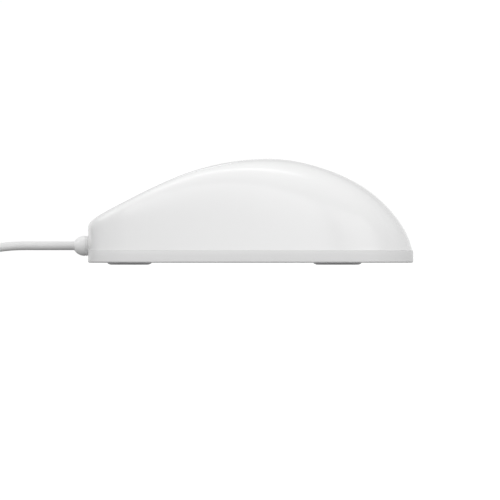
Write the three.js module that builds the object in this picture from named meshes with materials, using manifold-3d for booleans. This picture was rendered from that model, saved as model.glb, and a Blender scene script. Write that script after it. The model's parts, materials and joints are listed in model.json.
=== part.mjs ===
// A wired computer mouse with two keys, a scroll wheel and a coiled cable.
// Millimetres: +Y towards the cable end, +X to the right, +Z up.
// The glide pads stand on z = 0 and the origin is under the middle of the case.
import * as THREE from 'three';
import { mergeVertices } from 'three/addons/utils/BufferGeometryUtils.js';
import Module from 'manifold-3d';

const wasm = await Module();
wasm.setup();

// ---------------------------------------------------------------- driving dimensions
const PAD_HEIGHT = 0.7; // underside of the case above the desk
const BAND_TOP = 5.1; // parting line: top shell above, base below
const GAP = 0.3; // clearance between neighbouring pieces
const WALL = 2; // casing wall
const KEY_WALL = 1.8;
const BURY = 0.5; // how far a rib or boss runs into the wall it grows from
const REACH = 70; // cutting tools run this far, clear of the whole case

// Plan outline of the top shell at the parting line: a squircle in front, an oval behind
const HALF_LENGTH = 58;
const FRONT_REACH = 57.6;
const REAR_REACH = 57.7;
const HALF_WIDTH = 30.7;
const FRONT_POWER = 5.5;
const REAR_POWER = 2.6;
const WAIST_DEPTH = 0.045;
const WAIST_Y = 22;
const WAIST_SPREAD = 24;

// Crown: control heights of the top line above the parting line, spaced evenly from rear to front
const CROWN_HEIGHTS = [28.5, 35.9, 32.1, 28.5, 42.9, 26.1, 19.3, 10.9];
const SHOULDER_POWER = 5.6; // how square the shoulder is at mid length
const SHOULDER_RISE = 0.95; // squarer towards the front
const LEAN_MID = 0.08; // how far the sides lean in
const LEAN_SLOPE = -0.06;
const LEAN_CURVE = -0.03;

// Finger valley along the middle, where the wheel sits
const VALLEY_DEPTH = 3.6;
const VALLEY_SPREAD = 8;
const VALLEY_START = 2;
const VALLEY_FULL = 22;
const VALLEY_FADE_START = 36;
const VALLEY_FADE_SHARE = 0.65;

// Base
const FLOOR_TOP = 2.7;
const BAND_FLARE = 0.4;
const BAND_TOP_STEP = 0.25;
const EDGE_CHAMFER = 0.5;
const LIP_TOP = 7;
const LIP_THICKNESS = 1;
const PADS = [
  { name: 'front_glide_pad', y: 43.2, halfLength: 7.8, halfWidth: 19 },
  { name: 'rear_glide_pad', y: -31, halfLength: 8.5, halfWidth: 18 },
];
const PAD_POWER = 5;
const PAD_RECESS = 0.3;
const PAD_BEVEL = 1.3;
const PAD_BEVEL_TOP = 0.5;
const SEAT_GAP = 0.05; // air behind a piece stuck in its recess
const LABEL = { y: -9.5, halfLength: 6.5, halfWidth: 15 };
const LABEL_RECESS = 0.5;
const LABEL_THICKNESS = 0.35;
const SENSOR_Y = 5;
const SENSOR_WINDOW = { halfWidth: 6.5, halfLength: 4.5 };
const CASE_SCREWS = { left: [-22, -18.5], right: [22, -18.5], rear: [0, -47] };
const BOARD_SCREWS = { left: [-19, -11], right: [19, -11] };
const BOARD_RESTS = [[-19, 24], [19, 24]];

// Posts and screws; each case screw goes up through its well into a post of the top shell
const POST = { radius: 3, bore: 1.3, foot: 4.7, boreTop: 14 };
const WELL = { radius: 3.3, floor: 3.2, hole: 1.7, collar: 4.8, collarTop: 4.4 };
const STANDOFF = { radius: 2.2, bore: 1.2, boreFloor: 3.6 };
const CASE_SCREW = { head: 2.8, bottom: 1.3, thickness: 1.6, shaft: 0.9, tip: 12, slotDepth: 0.9 };
const BOARD_SCREW = { head: 2, thickness: 1.3, shaft: 0.9, tip: 4.2, slotDepth: 0.6 };
const CROSS_SLOT = { halfLength: 1.5, halfWidth: 0.3 };

// Keys: one panel outline split along the middle
const PANEL_Y = 28;
const PANEL_HALF_LENGTH = 25.5;
const PANEL_HALF_WIDTH = 22.5;
const PANEL_POWER = 5;
const KEY_SPLIT = 0.7;
const KEY_SWITCH_X = 15.5;
const KEY_SWITCH_Y = 38;
const KEY_PRESS_Y = 41;
const KEY_BOTTOM = 10; // lower than any part of a key
const KEY_STEM = { half: 1.6, foot: 16.6 };
const KEY_RIB = { half: 0.6, rear: 12, depth: 2.2 };
const KEY_LUG = { half: 5, rear: 3.6, front: 5.4, foot: 29 };

// Scroll wheel
const WHEEL_Y = 28;
const WHEEL_Z = 17.4;
const WHEEL_RADIUS = 11;
const WHEEL_WIDTH = 7;
const TYRE_DEPTH = 2.2;
const TYRE_CHAMFER = { drop: 0.9, width: 1.1 };
const HUB = { rimWall: 1.5, web: 1, boss: 2.6, bossFoot: 3 };
const AXLE_RADIUS = 1.2;
const AXLE_OVERRUN = { encoder: 3, bush: 1.6 };
const SLOT_HALF_WIDTH = 4.4;
const SLOT_REAR = 19.5;
const SLOT_FRONT = 44;
const ENCODER_X = 10;
const ENCODER = { half: 2.3, halfLength: 5.5, rise: 4.4, bore: 3, rotor: 2.6, rotorHalf: 2 };
const BUSH_X = -12;
const BUSH = { radius: 2.2, half: 1.5 };
const BUSH_GUIDE = { outer: 8.2, inner: 6.8, length: 1.6, rise: 2.4, stations: [WHEEL_Y - 3.4, WHEEL_Y + 1.8] };

// Circuit board
const BOARD_BOTTOM = 8;
const BOARD_TOP = 9.2;
const BOARD_HALF_WIDTH = 22;
const BOARD_REAR = -14;
const BOARD_FRONT = 46;
const BOARD_SEAT = BOARD_TOP + 0.1; // underside of what is soldered on top
const WHEEL_BAY = { left: -8.8, right: 6, rear: 15 };
const SENSOR_HOLE = { halfWidth: 4, halfLength: 3.5 };
const BOARD_CORNER = 5;
const BOARD_CORNER_LENGTH = 8;

// What the board carries
const KEY_SWITCH = { width: 5.8, length: 12.8, height: 6.2, wellHalf: [1.3, 1.5], wellFloor: 12 };
const KEY_PLUNGER = { half: [0.9, 1.1], bottom: 13.2, top: 16.3 };
const MIDDLE_SWITCH = { width: 6, height: 3.6, bore: 2.1, boreFloor: 11 };
const MIDDLE_PLUNGER = { radius: 1.7, bottom: 12, top: 14.9 };
const CHIP_CLEARANCE = 0.6;
const LEG = { width: 0.5, out: 0.8, buried: 0.2, height: 1.1 };
const LENS_PLATE = { halfWidth: 8.5, halfLength: 7, bottom: 5.8, top: 7.4 };
const LENS_PILLAR = { halfWidth: 5, halfLength: 3.2, bottom: 1.5 };
const LAMP_Y = SENSOR_Y - 13.5;
const LAMP_Z = 13.4;
const LAMP_PROFILE = [[0, -3.5], [2.9, -3.5], [2.9, -2.5], [2.5, -2.5], [2.5, 1.6], [1.9, 2.9], [0, 3.5]];
const LAMP_CLIP = { half: 4.4, rear: 2.2, front: 1.4, top: 17.4, bore: 2.8 };
const CAPACITOR_AT = [15.5, -4.5];
const CAPACITOR_PROFILE = [
  [0, 0], [2.5, 0], [2.5, 0.8], [2.3, 1.1], [2.5, 1.4], [2.5, 7], [2.2, 7.3], [0, 7.3],
];
const HEADER = { x: -16.5, y: 17.5, width: 10, length: 5.6, height: 4.6, wall: 0.6, floor: 1.1 };
const WIRE_PLUG = { halfWidth: 4, halfLength: 1.9, bottom: 10.8, top: 16.9 };

// Cable, coil and plug
const CABLE_DIAMETER = 3.1;
const CABLE_EXIT_Z = 6.75;
const RELIEF_TIP = 62.8;
const RELIEF = { collar: 3.6, groove: 3.4, neck: 2.4, hole: 2.7, domeStart: 59.2, domeTurn: 1.08 };
const RELIEF_FLANGE = { start: 52.6, end: 53.9 };
const COLLAR_START = 58.3;
const COIL_CENTRE = [16, 121];
const COIL_INNER = 14.6; // innermost and outermost turn, measured on the centreline
const COIL_OUTER = 24.2;
const COIL_LAYERS = 4;
const COIL_BASE = 1; // the coil lies on its tie
const COIL_CORNER = 1.2;
const TIE_THICKNESS = 0.6;
const TIE_WIDTH = 6;
const TIE_ANGLE = -1.1;
const TIE_SLACK = 0.85; // inside the winding, where the strap bridges the curve
const LAYER_PITCH = 3.15;
const PLUG_X = COIL_CENTRE[0] - COIL_OUTER;
const PLUG_Z = 4.1;
const PLUG_START = 155.6;
const MOULD_LENGTH = 32;
const MOULD_RIBS = 2;
const MOULD_RIB_PITCH = 2.6;
const PLUG_SHELL = { length: 12, halfWidth: 6, halfHeight: 2.25, wall: 0.4 };
const PLUG_WINDOW = { x: 2.9, half: 1.1, start: 4.6, end: 6.8 };
const TONGUE = { halfWidth: 5.3, bottom: -1.55, top: 0.3, setback: 0.6 };
const CONTACT = { half: 0.5, start: 0.2, end: 10.4, bottom: 0.35, top: 0.6 };
const CONTACT_PLACES = [-3.5, -1, 1, 3.5];

// ---------------------------------------------------------------- materials
function material(color, roughness, metalness = 0, opacity = 1) {
  const transparent = opacity < 1;
  return new THREE.MeshStandardMaterial({ color, roughness, metalness, opacity, transparent });
}
const WHITE = material(0xececec, 0.3);
const BASE_WHITE = material(0xdfdfdf, 0.38);
const CABLE_WHITE = material(0xdcdcdc, 0.45);
const RUBBER = material(0x8d8f92, 0.8);
const PAD = material(0xa9abad, 0.5);
const CLEAR = material(0xdfe8ee, 0.08, 0, 0.4);
const BOARD_GREEN = material(0x2c6b3a, 0.5);
const BLACK = material(0x1d1d1f, 0.5);
const STEEL = material(0xb9bcc0, 0.3, 1);
const GOLD = material(0xc9a24a, 0.3, 1);
const SWITCH_RED = material(0xc0392b, 0.5);

// ---------------------------------------------------------------- solids and booleans
function solid(geometry) {
  geometry.deleteAttribute('normal');
  geometry.deleteAttribute('uv');
  const merged = mergeVertices(geometry, 1e-4);
  const vertProperties = new Float32Array(merged.attributes.position.array);
  const corners = Array.from(merged.index.array);
  const triangles = [];
  for (let i = 0; i < corners.length; i += 3) {
    const [a, b, c] = corners.slice(i, i + 3);
    if (a !== b && b !== c && c !== a) triangles.push(a, b, c);
  }
  const triVerts = new Uint32Array(triangles);
  return new wasm.Manifold(new wasm.Mesh({ numProp: 3, vertProperties, triVerts }));
}

function geometryOf(body) {
  const mesh = body.getMesh();
  const geometry = new THREE.BufferGeometry();
  geometry.setAttribute('position', new THREE.BufferAttribute(mesh.vertProperties, 3));
  geometry.setIndex(new THREE.BufferAttribute(mesh.triVerts, 1));
  return geometry;
}

function joined(bodies) {
  return bodies.reduce((sum, body) => sum.add(body));
}

function cut(body, tools) {
  return tools.reduce((rest, tool) => rest.subtract(tool), body);
}

function box(low, high) {
  const size = high.map((value, i) => value - low[i]);
  const geometry = new THREE.BoxGeometry(...size);
  geometry.translate(...high.map((value, i) => (value + low[i]) / 2));
  return solid(geometry);
}

function shapeFrom(points) {
  return new THREE.Shape(points.map(([x, y]) => new THREE.Vector2(x, y)));
}

function prism(points, bottom, top) {
  const geometry = new THREE.ExtrudeGeometry(shapeFrom(points), {
    depth: top - bottom,
    bevelEnabled: false,
  });
  geometry.translate(0, 0, bottom);
  return solid(geometry);
}

// Round bar between two stations of one axis ('x', 'y' or 'z')
function bar(axis, centre, radius, from, to, sides = 20) {
  const geometry = new THREE.CylinderGeometry(radius, radius, to - from, sides);
  if (axis === 'x') geometry.rotateZ(-Math.PI / 2);
  if (axis === 'z') geometry.rotateX(Math.PI / 2);
  const middle = (from + to) / 2;
  const place = { x: [middle, ...centre], y: [centre[0], middle, centre[1]], z: [...centre, middle] };
  geometry.translate(...place[axis]);
  return solid(geometry);
}

// Closed body through stacked rings of equal point count, bottom ring first
function stacked(rings) {
  const count = rings[0].length;
  const positions = rings.flat(2);
  const index = [];
  for (let r = 0; r + 1 < rings.length; r += 1) {
    for (let i = 0; i < count; i += 1) {
      const a = r * count + i;
      const b = r * count + ((i + 1) % count);
      index.push(a, b, b + count, a, b + count, a + count);
    }
  }
  const ends = [rings[0], rings[rings.length - 1]];
  ends.forEach((ring, end) => {
    const centre = positions.length / 3;
    const start = end === 0 ? 0 : (rings.length - 1) * count;
    [0, 1, 2].forEach((k) => positions.push(ring.reduce((sum, point) => sum + point[k], 0) / count));
    for (let i = 0; i < count; i += 1) {
      const a = start + i;
      const b = start + ((i + 1) % count);
      index.push(...(end === 0 ? [b, a, centre] : [a, b, centre]));
    }
  });
  const geometry = new THREE.BufferGeometry();
  geometry.setAttribute('position', new THREE.Float32BufferAttribute(positions, 3));
  geometry.setIndex(index);
  return solid(geometry);
}

// Turned piece about an axis through centre; profile points are [radius, station], going up outside
function turned(profile, axis, centre, sides = 32) {
  const points = profile.map(([radius, station]) => new THREE.Vector2(radius, station));
  const geometry = new THREE.LatheGeometry(points, sides);
  if (axis === 'x') geometry.rotateZ(-Math.PI / 2);
  if (axis === 'z') geometry.rotateX(Math.PI / 2);
  geometry.translate(...centre);
  return solid(geometry);
}

// ---------------------------------------------------------------- the outer form
function smooth(t) {
  const u = Math.min(Math.max(t, 0), 1);
  return u * u * (3 - 2 * u);
}

function squircle(angle, power) {
  const c = Math.cos(angle);
  const s = Math.sin(angle);
  const reach = (Math.abs(c) ** power + Math.abs(s) ** power) ** (-1 / power);
  return [c * reach, s * reach];
}

function planPoint(angle, grow) {
  const atFront = Math.sin(angle) >= 0;
  const [cx, cy] = squircle(angle, atFront ? FRONT_POWER : REAR_POWER);
  const y = ((atFront ? FRONT_REACH : REAR_REACH) + grow) * cy;
  const waist = 1 - WAIST_DEPTH * Math.exp(-(((y - WAIST_Y) / WAIST_SPREAD) ** 2));
  return [(HALF_WIDTH + grow) * cx * waist, y];
}

// Bezier height curve through evenly spaced control heights
function crownHeight(y) {
  const t = (y + HALF_LENGTH) / (2 * HALF_LENGTH);
  let heights = CROWN_HEIGHTS;
  while (heights.length > 1) {
    heights = heights.slice(1).map((height, i) => heights[i] * (1 - t) + height * t);
  }
  return heights[0];
}

function valley(x, y) {
  const rise = smooth((y - VALLEY_START) / (VALLEY_FULL - VALLEY_START));
  const fade = smooth((y - VALLEY_FADE_START) / (HALF_LENGTH - VALLEY_FADE_START));
  const depth = VALLEY_DEPTH * rise * (1 - VALLEY_FADE_SHARE * fade);
  return depth * Math.exp(-((x / VALLEY_SPREAD) ** 2));
}

// Point of the form: angle runs round the plan, tilt runs from the crown (0) to the rim (90 degrees)
function formPoint(angle, tilt, grow) {
  const [px, py] = planPoint(angle, grow);
  const along = py / HALF_LENGTH;
  const [up, out] = squircle(tilt, SHOULDER_POWER * Math.exp(SHOULDER_RISE * along));
  const lean = LEAN_MID + LEAN_SLOPE * along + LEAN_CURVE * along * along;
  const x = px * out * (1 - lean * up);
  const y = py * out * (1 - lean * up);
  return [x, y, BAND_TOP + up * (crownHeight(y) + grow - valley(x, y))];
}

function ring(sectors, pointAt) {
  return Array.from({ length: sectors }, (_, i) => pointAt((2 * Math.PI * i) / sectors));
}

function outlineRing(sectors, grow, z) {
  return ring(sectors, (angle) => [...planPoint(angle, grow), z]);
}

// Solid of the form, moved in or out by grow and carried straight down to foot
function formSolid(grow, foot, sectors, steps) {
  const rings = foot < BAND_TOP ? [outlineRing(sectors, grow, foot)] : [];
  for (let i = 0; i < steps; i += 1) {
    const tilt = (Math.PI / 2) * (1 - i / steps);
    rings.push(ring(sectors, (angle) => formPoint(angle, tilt, grow)));
  }
  return stacked(rings);
}

const FINE = [64, 13];
const COARSE = [40, 8];
const cavity = formSolid(-WALL, BAND_TOP - 2, ...COARSE);
const reliefHole = bar('y', [0, CABLE_EXIT_Z], RELIEF.hole, RELIEF_FLANGE.start - 2, REACH);

function panelOutline(grow) {
  return ring(56, (angle) => {
    const [cx, cy] = squircle(angle, PANEL_POWER);
    return [(PANEL_HALF_WIDTH + grow) * cx, PANEL_Y + (PANEL_HALF_LENGTH + grow) * cy];
  });
}

function slotOutline() {
  const radius = SLOT_HALF_WIDTH;
  const arc = (y, start) => Array.from({ length: 9 }, (_, i) => {
    const angle = start + (Math.PI * i) / 8;
    return [radius * Math.cos(angle), y + radius * Math.sin(angle)];
  });
  return [...arc(SLOT_FRONT - radius, 0), ...arc(SLOT_REAR + radius, Math.PI)];
}

// ---------------------------------------------------------------- casing
function screwPost(centre) {
  const within = formSolid(-WALL + BURY, BAND_TOP - 2, ...COARSE);
  return bar('z', centre, POST.radius, POST.foot, REACH).intersect(within);
}

function topShell() {
  const skin = formSolid(0, BAND_TOP, ...FINE).subtract(cavity);
  const posts = Object.values(CASE_SCREWS).map(screwPost);
  const bores = Object.values(CASE_SCREWS).map((centre) => (
    bar('z', centre, POST.bore, POST.foot - 1, POST.boreTop)
  ));
  const opening = prism(panelOutline(0), KEY_BOTTOM, REACH);
  return cut(joined([skin, ...posts]), [...bores, opening, reliefHole]);
}

// Stem that presses the switch, stiffening rib and the lug of the flexing hinge
function keyPress(side) {
  const x = side * KEY_SWITCH_X;
  const block = (half, rear, front, foot) => box([x - half, rear, foot], [x + half, front, REACH]);
  const stem = block(KEY_STEM.half, KEY_PRESS_Y - KEY_STEM.half, KEY_PRESS_Y + KEY_STEM.half, KEY_STEM.foot);
  const lug = block(KEY_LUG.half, KEY_LUG.rear, KEY_LUG.front, KEY_LUG.foot);
  const rib = block(KEY_RIB.half, KEY_RIB.rear, KEY_PRESS_Y, KEY_BOTTOM)
    .subtract(formSolid(-KEY_WALL - KEY_RIB.depth, BAND_TOP - 2, ...COARSE));
  const under = formSolid(-KEY_WALL + BURY, BAND_TOP - 2, ...COARSE);
  const inside = prism(panelOutline(-1), KEY_BOTTOM, REACH);
  return joined([stem, rib, lug]).intersect(under).intersect(inside);
}

function key(side) {
  const skin = formSolid(0, BAND_TOP, ...FINE).subtract(formSolid(-KEY_WALL, BAND_TOP - 2, ...COARSE));
  const [left, right] = side > 0 ? [KEY_SPLIT / 2, REACH] : [-REACH, -KEY_SPLIT / 2];
  const half = box([left, 0, KEY_BOTTOM], [right, REACH, REACH]);
  const plate = skin.intersect(prism(panelOutline(-GAP), KEY_BOTTOM, REACH)).intersect(half);
  return plate.subtract(prism(slotOutline(), KEY_BOTTOM, REACH)).add(keyPress(side));
}

function baseTray() {
  const inset = -WALL - GAP - LIP_THICKNESS;
  const outside = stacked([
    outlineRing(FINE[0], 0, PAD_HEIGHT),
    outlineRing(FINE[0], BAND_FLARE, PAD_HEIGHT + EDGE_CHAMFER),
    outlineRing(FINE[0], BAND_TOP_STEP, BAND_TOP - GAP),
  ]);
  return outside.subtract(stacked([
    outlineRing(COARSE[0], inset, FLOOR_TOP),
    outlineRing(COARSE[0], inset, BAND_TOP + 1),
  ]));
}

function baseLip() {
  return formSolid(-WALL - GAP, BAND_TOP - 2, ...COARSE)
    .subtract(formSolid(-WALL - GAP - LIP_THICKNESS, BAND_TOP - 3, ...COARSE))
    .intersect(box([-REACH, -REACH, BAND_TOP - 1], [REACH, REACH, LIP_TOP]));
}

function basePlate() {
  const root = FLOOR_TOP - 1;
  const [caseScrews, boardScrews] = [Object.values(CASE_SCREWS), Object.values(BOARD_SCREWS)];
  const collars = caseScrews.map((centre) => bar('z', centre, WELL.collar, root, WELL.collarTop));
  const standoffs = [...boardScrews, ...BOARD_RESTS].map((centre) => (
    bar('z', centre, STANDOFF.radius, root, BOARD_BOTTOM - GAP)
  ));
  const guides = BUSH_GUIDE.stations.map((y) => (
    box([-BUSH_GUIDE.outer, y, root], [-BUSH_GUIDE.inner, y + BUSH_GUIDE.length, WHEEL_Z + BUSH_GUIDE.rise])
  ));
  const wells = caseScrews.map((centre) => bar('z', centre, WELL.radius, 0, WELL.floor));
  const holes = caseScrews.map((centre) => bar('z', centre, WELL.hole, WELL.floor - 1, WELL.collarTop + 1));
  const bores = boardScrews.map((centre) => bar('z', centre, STANDOFF.bore, STANDOFF.boreFloor, BOARD_TOP));
  const recesses = PADS.map((pad) => prism(padOutline(pad, GAP), 0, PAD_HEIGHT + PAD_RECESS));
  const labelRecess = prism(padOutline(LABEL, GAP), 0, PAD_HEIGHT + LABEL_RECESS);
  const window = box(
    [-SENSOR_WINDOW.halfWidth, SENSOR_Y - SENSOR_WINDOW.halfLength, 0],
    [SENSOR_WINDOW.halfWidth, SENSOR_Y + SENSOR_WINDOW.halfLength, FLOOR_TOP + 1],
  );
  const body = joined([baseTray(), baseLip(), ...collars, ...standoffs, ...guides]);
  return cut(body, [...wells, ...holes, ...bores, ...recesses, labelRecess, window, reliefHole]);
}

function padOutline(pad, grow) {
  return ring(32, (angle) => {
    const [cx, cy] = squircle(angle, PAD_POWER);
    return [(pad.halfWidth + grow) * cx, pad.y + (pad.halfLength + grow) * cy];
  });
}

function glidePad(pad) {
  const at = (grow, z) => padOutline(pad, grow).map(([x, y]) => [x, y, z]);
  return stacked([at(-PAD_BEVEL, 0), at(0, PAD_BEVEL_TOP), at(0, PAD_HEIGHT + PAD_RECESS - SEAT_GAP)]);
}

function labelPlate() {
  const top = PAD_HEIGHT + LABEL_RECESS - SEAT_GAP;
  return prism(padOutline(LABEL, 0), top - LABEL_THICKNESS, top);
}

// ---------------------------------------------------------------- screws
function crossSlots([x, y], bottom, top) {
  const { halfLength, halfWidth } = CROSS_SLOT;
  return [
    box([x - halfLength, y - halfWidth, bottom], [x + halfLength, y + halfWidth, top]),
    box([x - halfWidth, y - halfLength, bottom], [x + halfWidth, y + halfLength, top]),
  ];
}

// Head downwards
function caseScrew(centre) {
  const { bottom, thickness, slotDepth } = CASE_SCREW;
  const head = bar('z', centre, CASE_SCREW.head, bottom, bottom + thickness, 16);
  const shaft = bar('z', centre, CASE_SCREW.shaft, bottom + 1, CASE_SCREW.tip, 8);
  return cut(head.add(shaft), crossSlots(centre, bottom - 1, bottom + slotDepth));
}

// Head upwards
function boardScrew(centre) {
  const bottom = BOARD_TOP + GAP;
  const top = bottom + BOARD_SCREW.thickness;
  const head = bar('z', centre, BOARD_SCREW.head, bottom, top, 12);
  const shaft = bar('z', centre, BOARD_SCREW.shaft, BOARD_SCREW.tip, bottom + BURY, 8);
  return cut(head.add(shaft), crossSlots(centre, top - BOARD_SCREW.slotDepth, top + 1));
}

// ---------------------------------------------------------------- scroll wheel
function wheelPiece(profile, sides) {
  return turned(profile, 'x', [0, WHEEL_Y, WHEEL_Z], sides);
}

function scrollTyre() {
  const inner = WHEEL_RADIUS - TYRE_DEPTH;
  const half = WHEEL_WIDTH / 2;
  const side = WHEEL_RADIUS - TYRE_CHAMFER.drop;
  const tread = half - TYRE_CHAMFER.width;
  return wheelPiece([
    [inner, -half], [side, -half], [WHEEL_RADIUS, -tread], [WHEEL_RADIUS, tread], [side, half], [inner, half],
    [inner, -half],
  ], 40);
}

function scrollHub() {
  const rim = WHEEL_RADIUS - TYRE_DEPTH - GAP;
  const half = WHEEL_WIDTH / 2;
  const disc = wheelPiece([
    [0, -half], [rim, -half], [rim, half], [rim - HUB.rimWall, half], [rim - HUB.rimWall, HUB.web],
    [HUB.bossFoot, HUB.web], [HUB.boss, half + 1], [0, half + 1],
  ], 32);
  const from = BUSH_X - AXLE_OVERRUN.bush;
  const to = ENCODER_X + AXLE_OVERRUN.encoder;
  return disc.add(bar('x', [WHEEL_Y, WHEEL_Z], AXLE_RADIUS, from, to, 12));
}

// Ring on the axle, half as long each side of x
function axleRing(x, outer, half) {
  const centre = [WHEEL_Y, WHEEL_Z];
  const ringBody = bar('x', centre, outer, x - half, x + half, 24);
  return ringBody.subtract(bar('x', centre, AXLE_RADIUS + GAP, x - half - 1, x + half + 1, 24));
}

function encoderRotor() {
  return axleRing(ENCODER_X, ENCODER.rotor, ENCODER.rotorHalf);
}

function encoderHousing() {
  const low = [ENCODER_X - ENCODER.half, WHEEL_Y - ENCODER.halfLength, BOARD_SEAT];
  const high = [ENCODER_X + ENCODER.half, WHEEL_Y + ENCODER.halfLength, WHEEL_Z + ENCODER.rise];
  return box(low, high).subtract(bar('x', [WHEEL_Y, WHEEL_Z], ENCODER.bore, 0, REACH));
}

function axleBush() {
  return axleRing(BUSH_X, BUSH.radius, BUSH.half);
}

// ---------------------------------------------------------------- board and components
function board() {
  const [under, over] = [BOARD_BOTTOM - 1, BOARD_TOP + 1];
  const plate = box([-BOARD_HALF_WIDTH, BOARD_REAR, BOARD_BOTTOM], [BOARD_HALF_WIDTH, BOARD_FRONT, BOARD_TOP]);
  const wheelBay = box([WHEEL_BAY.left, WHEEL_BAY.rear, under], [WHEEL_BAY.right, REACH, over]);
  const { halfWidth, halfLength } = SENSOR_HOLE;
  const sensorHole = box([-halfWidth, SENSOR_Y - halfLength, under], [halfWidth, SENSOR_Y + halfLength, over]);
  const corners = [-1, 1].map((side) => prism([
    [side * (BOARD_HALF_WIDTH - BOARD_CORNER), BOARD_FRONT + 1],
    [side * (BOARD_HALF_WIDTH + 2), BOARD_FRONT + 1],
    [side * (BOARD_HALF_WIDTH + 2), BOARD_FRONT - BOARD_CORNER_LENGTH],
  ], under, over));
  const screwHoles = Object.values(BOARD_SCREWS).map((centre) => bar('z', centre, STANDOFF.bore, under, over));
  return cut(plate, [wheelBay, sensorHole, ...corners, ...screwHoles]);
}

function centredBox(x, y, halfX, halfY, bottom, top) {
  return box([x - halfX, y - halfY, bottom], [x + halfX, y + halfY, top]);
}

function onBoard(x, y, width, length, height) {
  return centredBox(x, y, width / 2, length / 2, BOARD_SEAT, BOARD_SEAT + height);
}

function chip(x, y, width, length, height, legs) {
  const bottom = BOARD_SEAT + CHIP_CLEARANCE;
  const body = centredBox(x, y, width / 2, length / 2, bottom, bottom + height);
  const pitch = length / legs;
  const pins = [];
  for (let i = 0; i < legs; i += 1) {
    const pinY = y + pitch * (i + 0.5) - length / 2;
    [-1, 1].forEach((side) => {
      const pinX = x + (side * (width + LEG.out - LEG.buried)) / 2;
      const half = (LEG.out + LEG.buried) / 2;
      pins.push(centredBox(pinX, pinY, half, LEG.width / 2, BOARD_SEAT, BOARD_SEAT + LEG.height));
    });
  }
  return joined([body, ...pins]);
}

function keySwitch(side) {
  const x = side * KEY_SWITCH_X;
  const { width, length, height, wellHalf, wellFloor } = KEY_SWITCH;
  return onBoard(x, KEY_SWITCH_Y, width, length, height)
    .subtract(centredBox(x, KEY_PRESS_Y, ...wellHalf, wellFloor, REACH));
}

function keyPlunger(side) {
  return centredBox(side * KEY_SWITCH_X, KEY_PRESS_Y, ...KEY_PLUNGER.half, KEY_PLUNGER.bottom, KEY_PLUNGER.top);
}

function middleSwitch() {
  const { width, height, bore, boreFloor } = MIDDLE_SWITCH;
  return onBoard(BUSH_X, WHEEL_Y, width, width, height)
    .subtract(bar('z', [BUSH_X, WHEEL_Y], bore, boreFloor, REACH));
}

function middlePlunger() {
  return bar('z', [BUSH_X, WHEEL_Y], MIDDLE_PLUNGER.radius, MIDDLE_PLUNGER.bottom, MIDDLE_PLUNGER.top);
}

function sensorLens() {
  const { halfWidth, halfLength, bottom, top } = LENS_PLATE;
  const plate = centredBox(0, SENSOR_Y, halfWidth, halfLength, bottom, top);
  const pillarTop = bottom + BURY;
  return plate.add(centredBox(
    0, SENSOR_Y, LENS_PILLAR.halfWidth, LENS_PILLAR.halfLength, LENS_PILLAR.bottom, pillarTop,
  ));
}

function sensorLamp() {
  return turned(LAMP_PROFILE, 'y', [0, LAMP_Y, LAMP_Z], 20);
}

function lampClip() {
  const { half, rear, front, top, bore } = LAMP_CLIP;
  const block = box([-half, LAMP_Y - rear, BOARD_SEAT], [half, LAMP_Y + front, top]);
  return block.subtract(bar('y', [0, LAMP_Z], bore, LAMP_Y - rear - 1, LAMP_Y + front + 1));
}

function capacitor(side) {
  return turned(CAPACITOR_PROFILE, 'z', [side * CAPACITOR_AT[0], CAPACITOR_AT[1], BOARD_SEAT], 14);
}

// ---------------------------------------------------------------- cable
function sweep(points, radius, sides, steps) {
  const curve = new THREE.CatmullRomCurve3(points.map((point) => new THREE.Vector3(...point)));
  const section = new THREE.Shape(Array.from({ length: sides }, (_, i) => {
    const angle = (2 * Math.PI * i) / sides;
    return new THREE.Vector2(radius * Math.cos(angle), radius * Math.sin(angle));
  }));
  return solid(new THREE.ExtrudeGeometry(section, { steps, extrudePath: curve, bevelEnabled: false }));
}

function strainRelief() {
  const { collar, groove, neck, domeStart, domeTurn } = RELIEF;
  const { start, end } = RELIEF_FLANGE;
  const dome = Array.from({ length: 7 }, (_, i) => {
    const angle = (domeTurn * i) / 6;
    const station = domeStart + ((RELIEF_TIP - domeStart) * Math.sin(angle)) / Math.sin(domeTurn);
    return [collar * Math.cos(angle), station];
  });
  return turned([
    [0, start], [collar, start], [collar, end], [neck, end], [neck, COLLAR_START], [collar, COLLAR_START],
    [collar, domeStart - 0.3], [groove, domeStart - 0.25], [groove, domeStart - 0.05], ...dome, [0, RELIEF_TIP],
  ], 'y', [0, 0, CABLE_EXIT_Z], 20);
}

// Chosen by hand: straight out of the strain relief, then down towards the desk and up to the coil
const LEAD_ROUTE = [
  [0, 63.1, 6.75], [0, 67, 6.75], [0, 71.5, 6.75], [0, 76, 6.75], [0, 80.5, 6.75], [-0.2, 85, 6.6],
  [-0.8, 89.5, 6.15], [-1.85, 94, 5.35], [-3.03, 98.5, 4.3], [-3.75, 101.2, 3.7],
];

// From the coil's top layer down to the plug, which lies on the desk
const TAIL_ROUTE = [
  [PLUG_X, 135, 11], [PLUG_X, 139, 9.8], [PLUG_X, 143.5, 7.9], [PLUG_X, 148, 6],
  [PLUG_X, 152, 4.7], [PLUG_X, 155.3, 4.15],
];

function cableCoil() {
  const inner = COIL_INNER - CABLE_DIAMETER / 2;
  const outer = COIL_OUTER + CABLE_DIAMETER / 2;
  const top = COIL_BASE + (COIL_LAYERS - 1) * LAYER_PITCH + CABLE_DIAMETER;
  return turned([
    [inner + COIL_CORNER, COIL_BASE], [outer - COIL_CORNER, COIL_BASE], [outer, COIL_BASE + COIL_CORNER],
    [outer, top - COIL_CORNER], [outer - COIL_CORNER, top], [inner + COIL_CORNER, top],
    [inner, top - COIL_CORNER], [inner, COIL_BASE + COIL_CORNER], [inner + COIL_CORNER, COIL_BASE],
  ], 'z', [...COIL_CENTRE, 0], 36);
}

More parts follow.
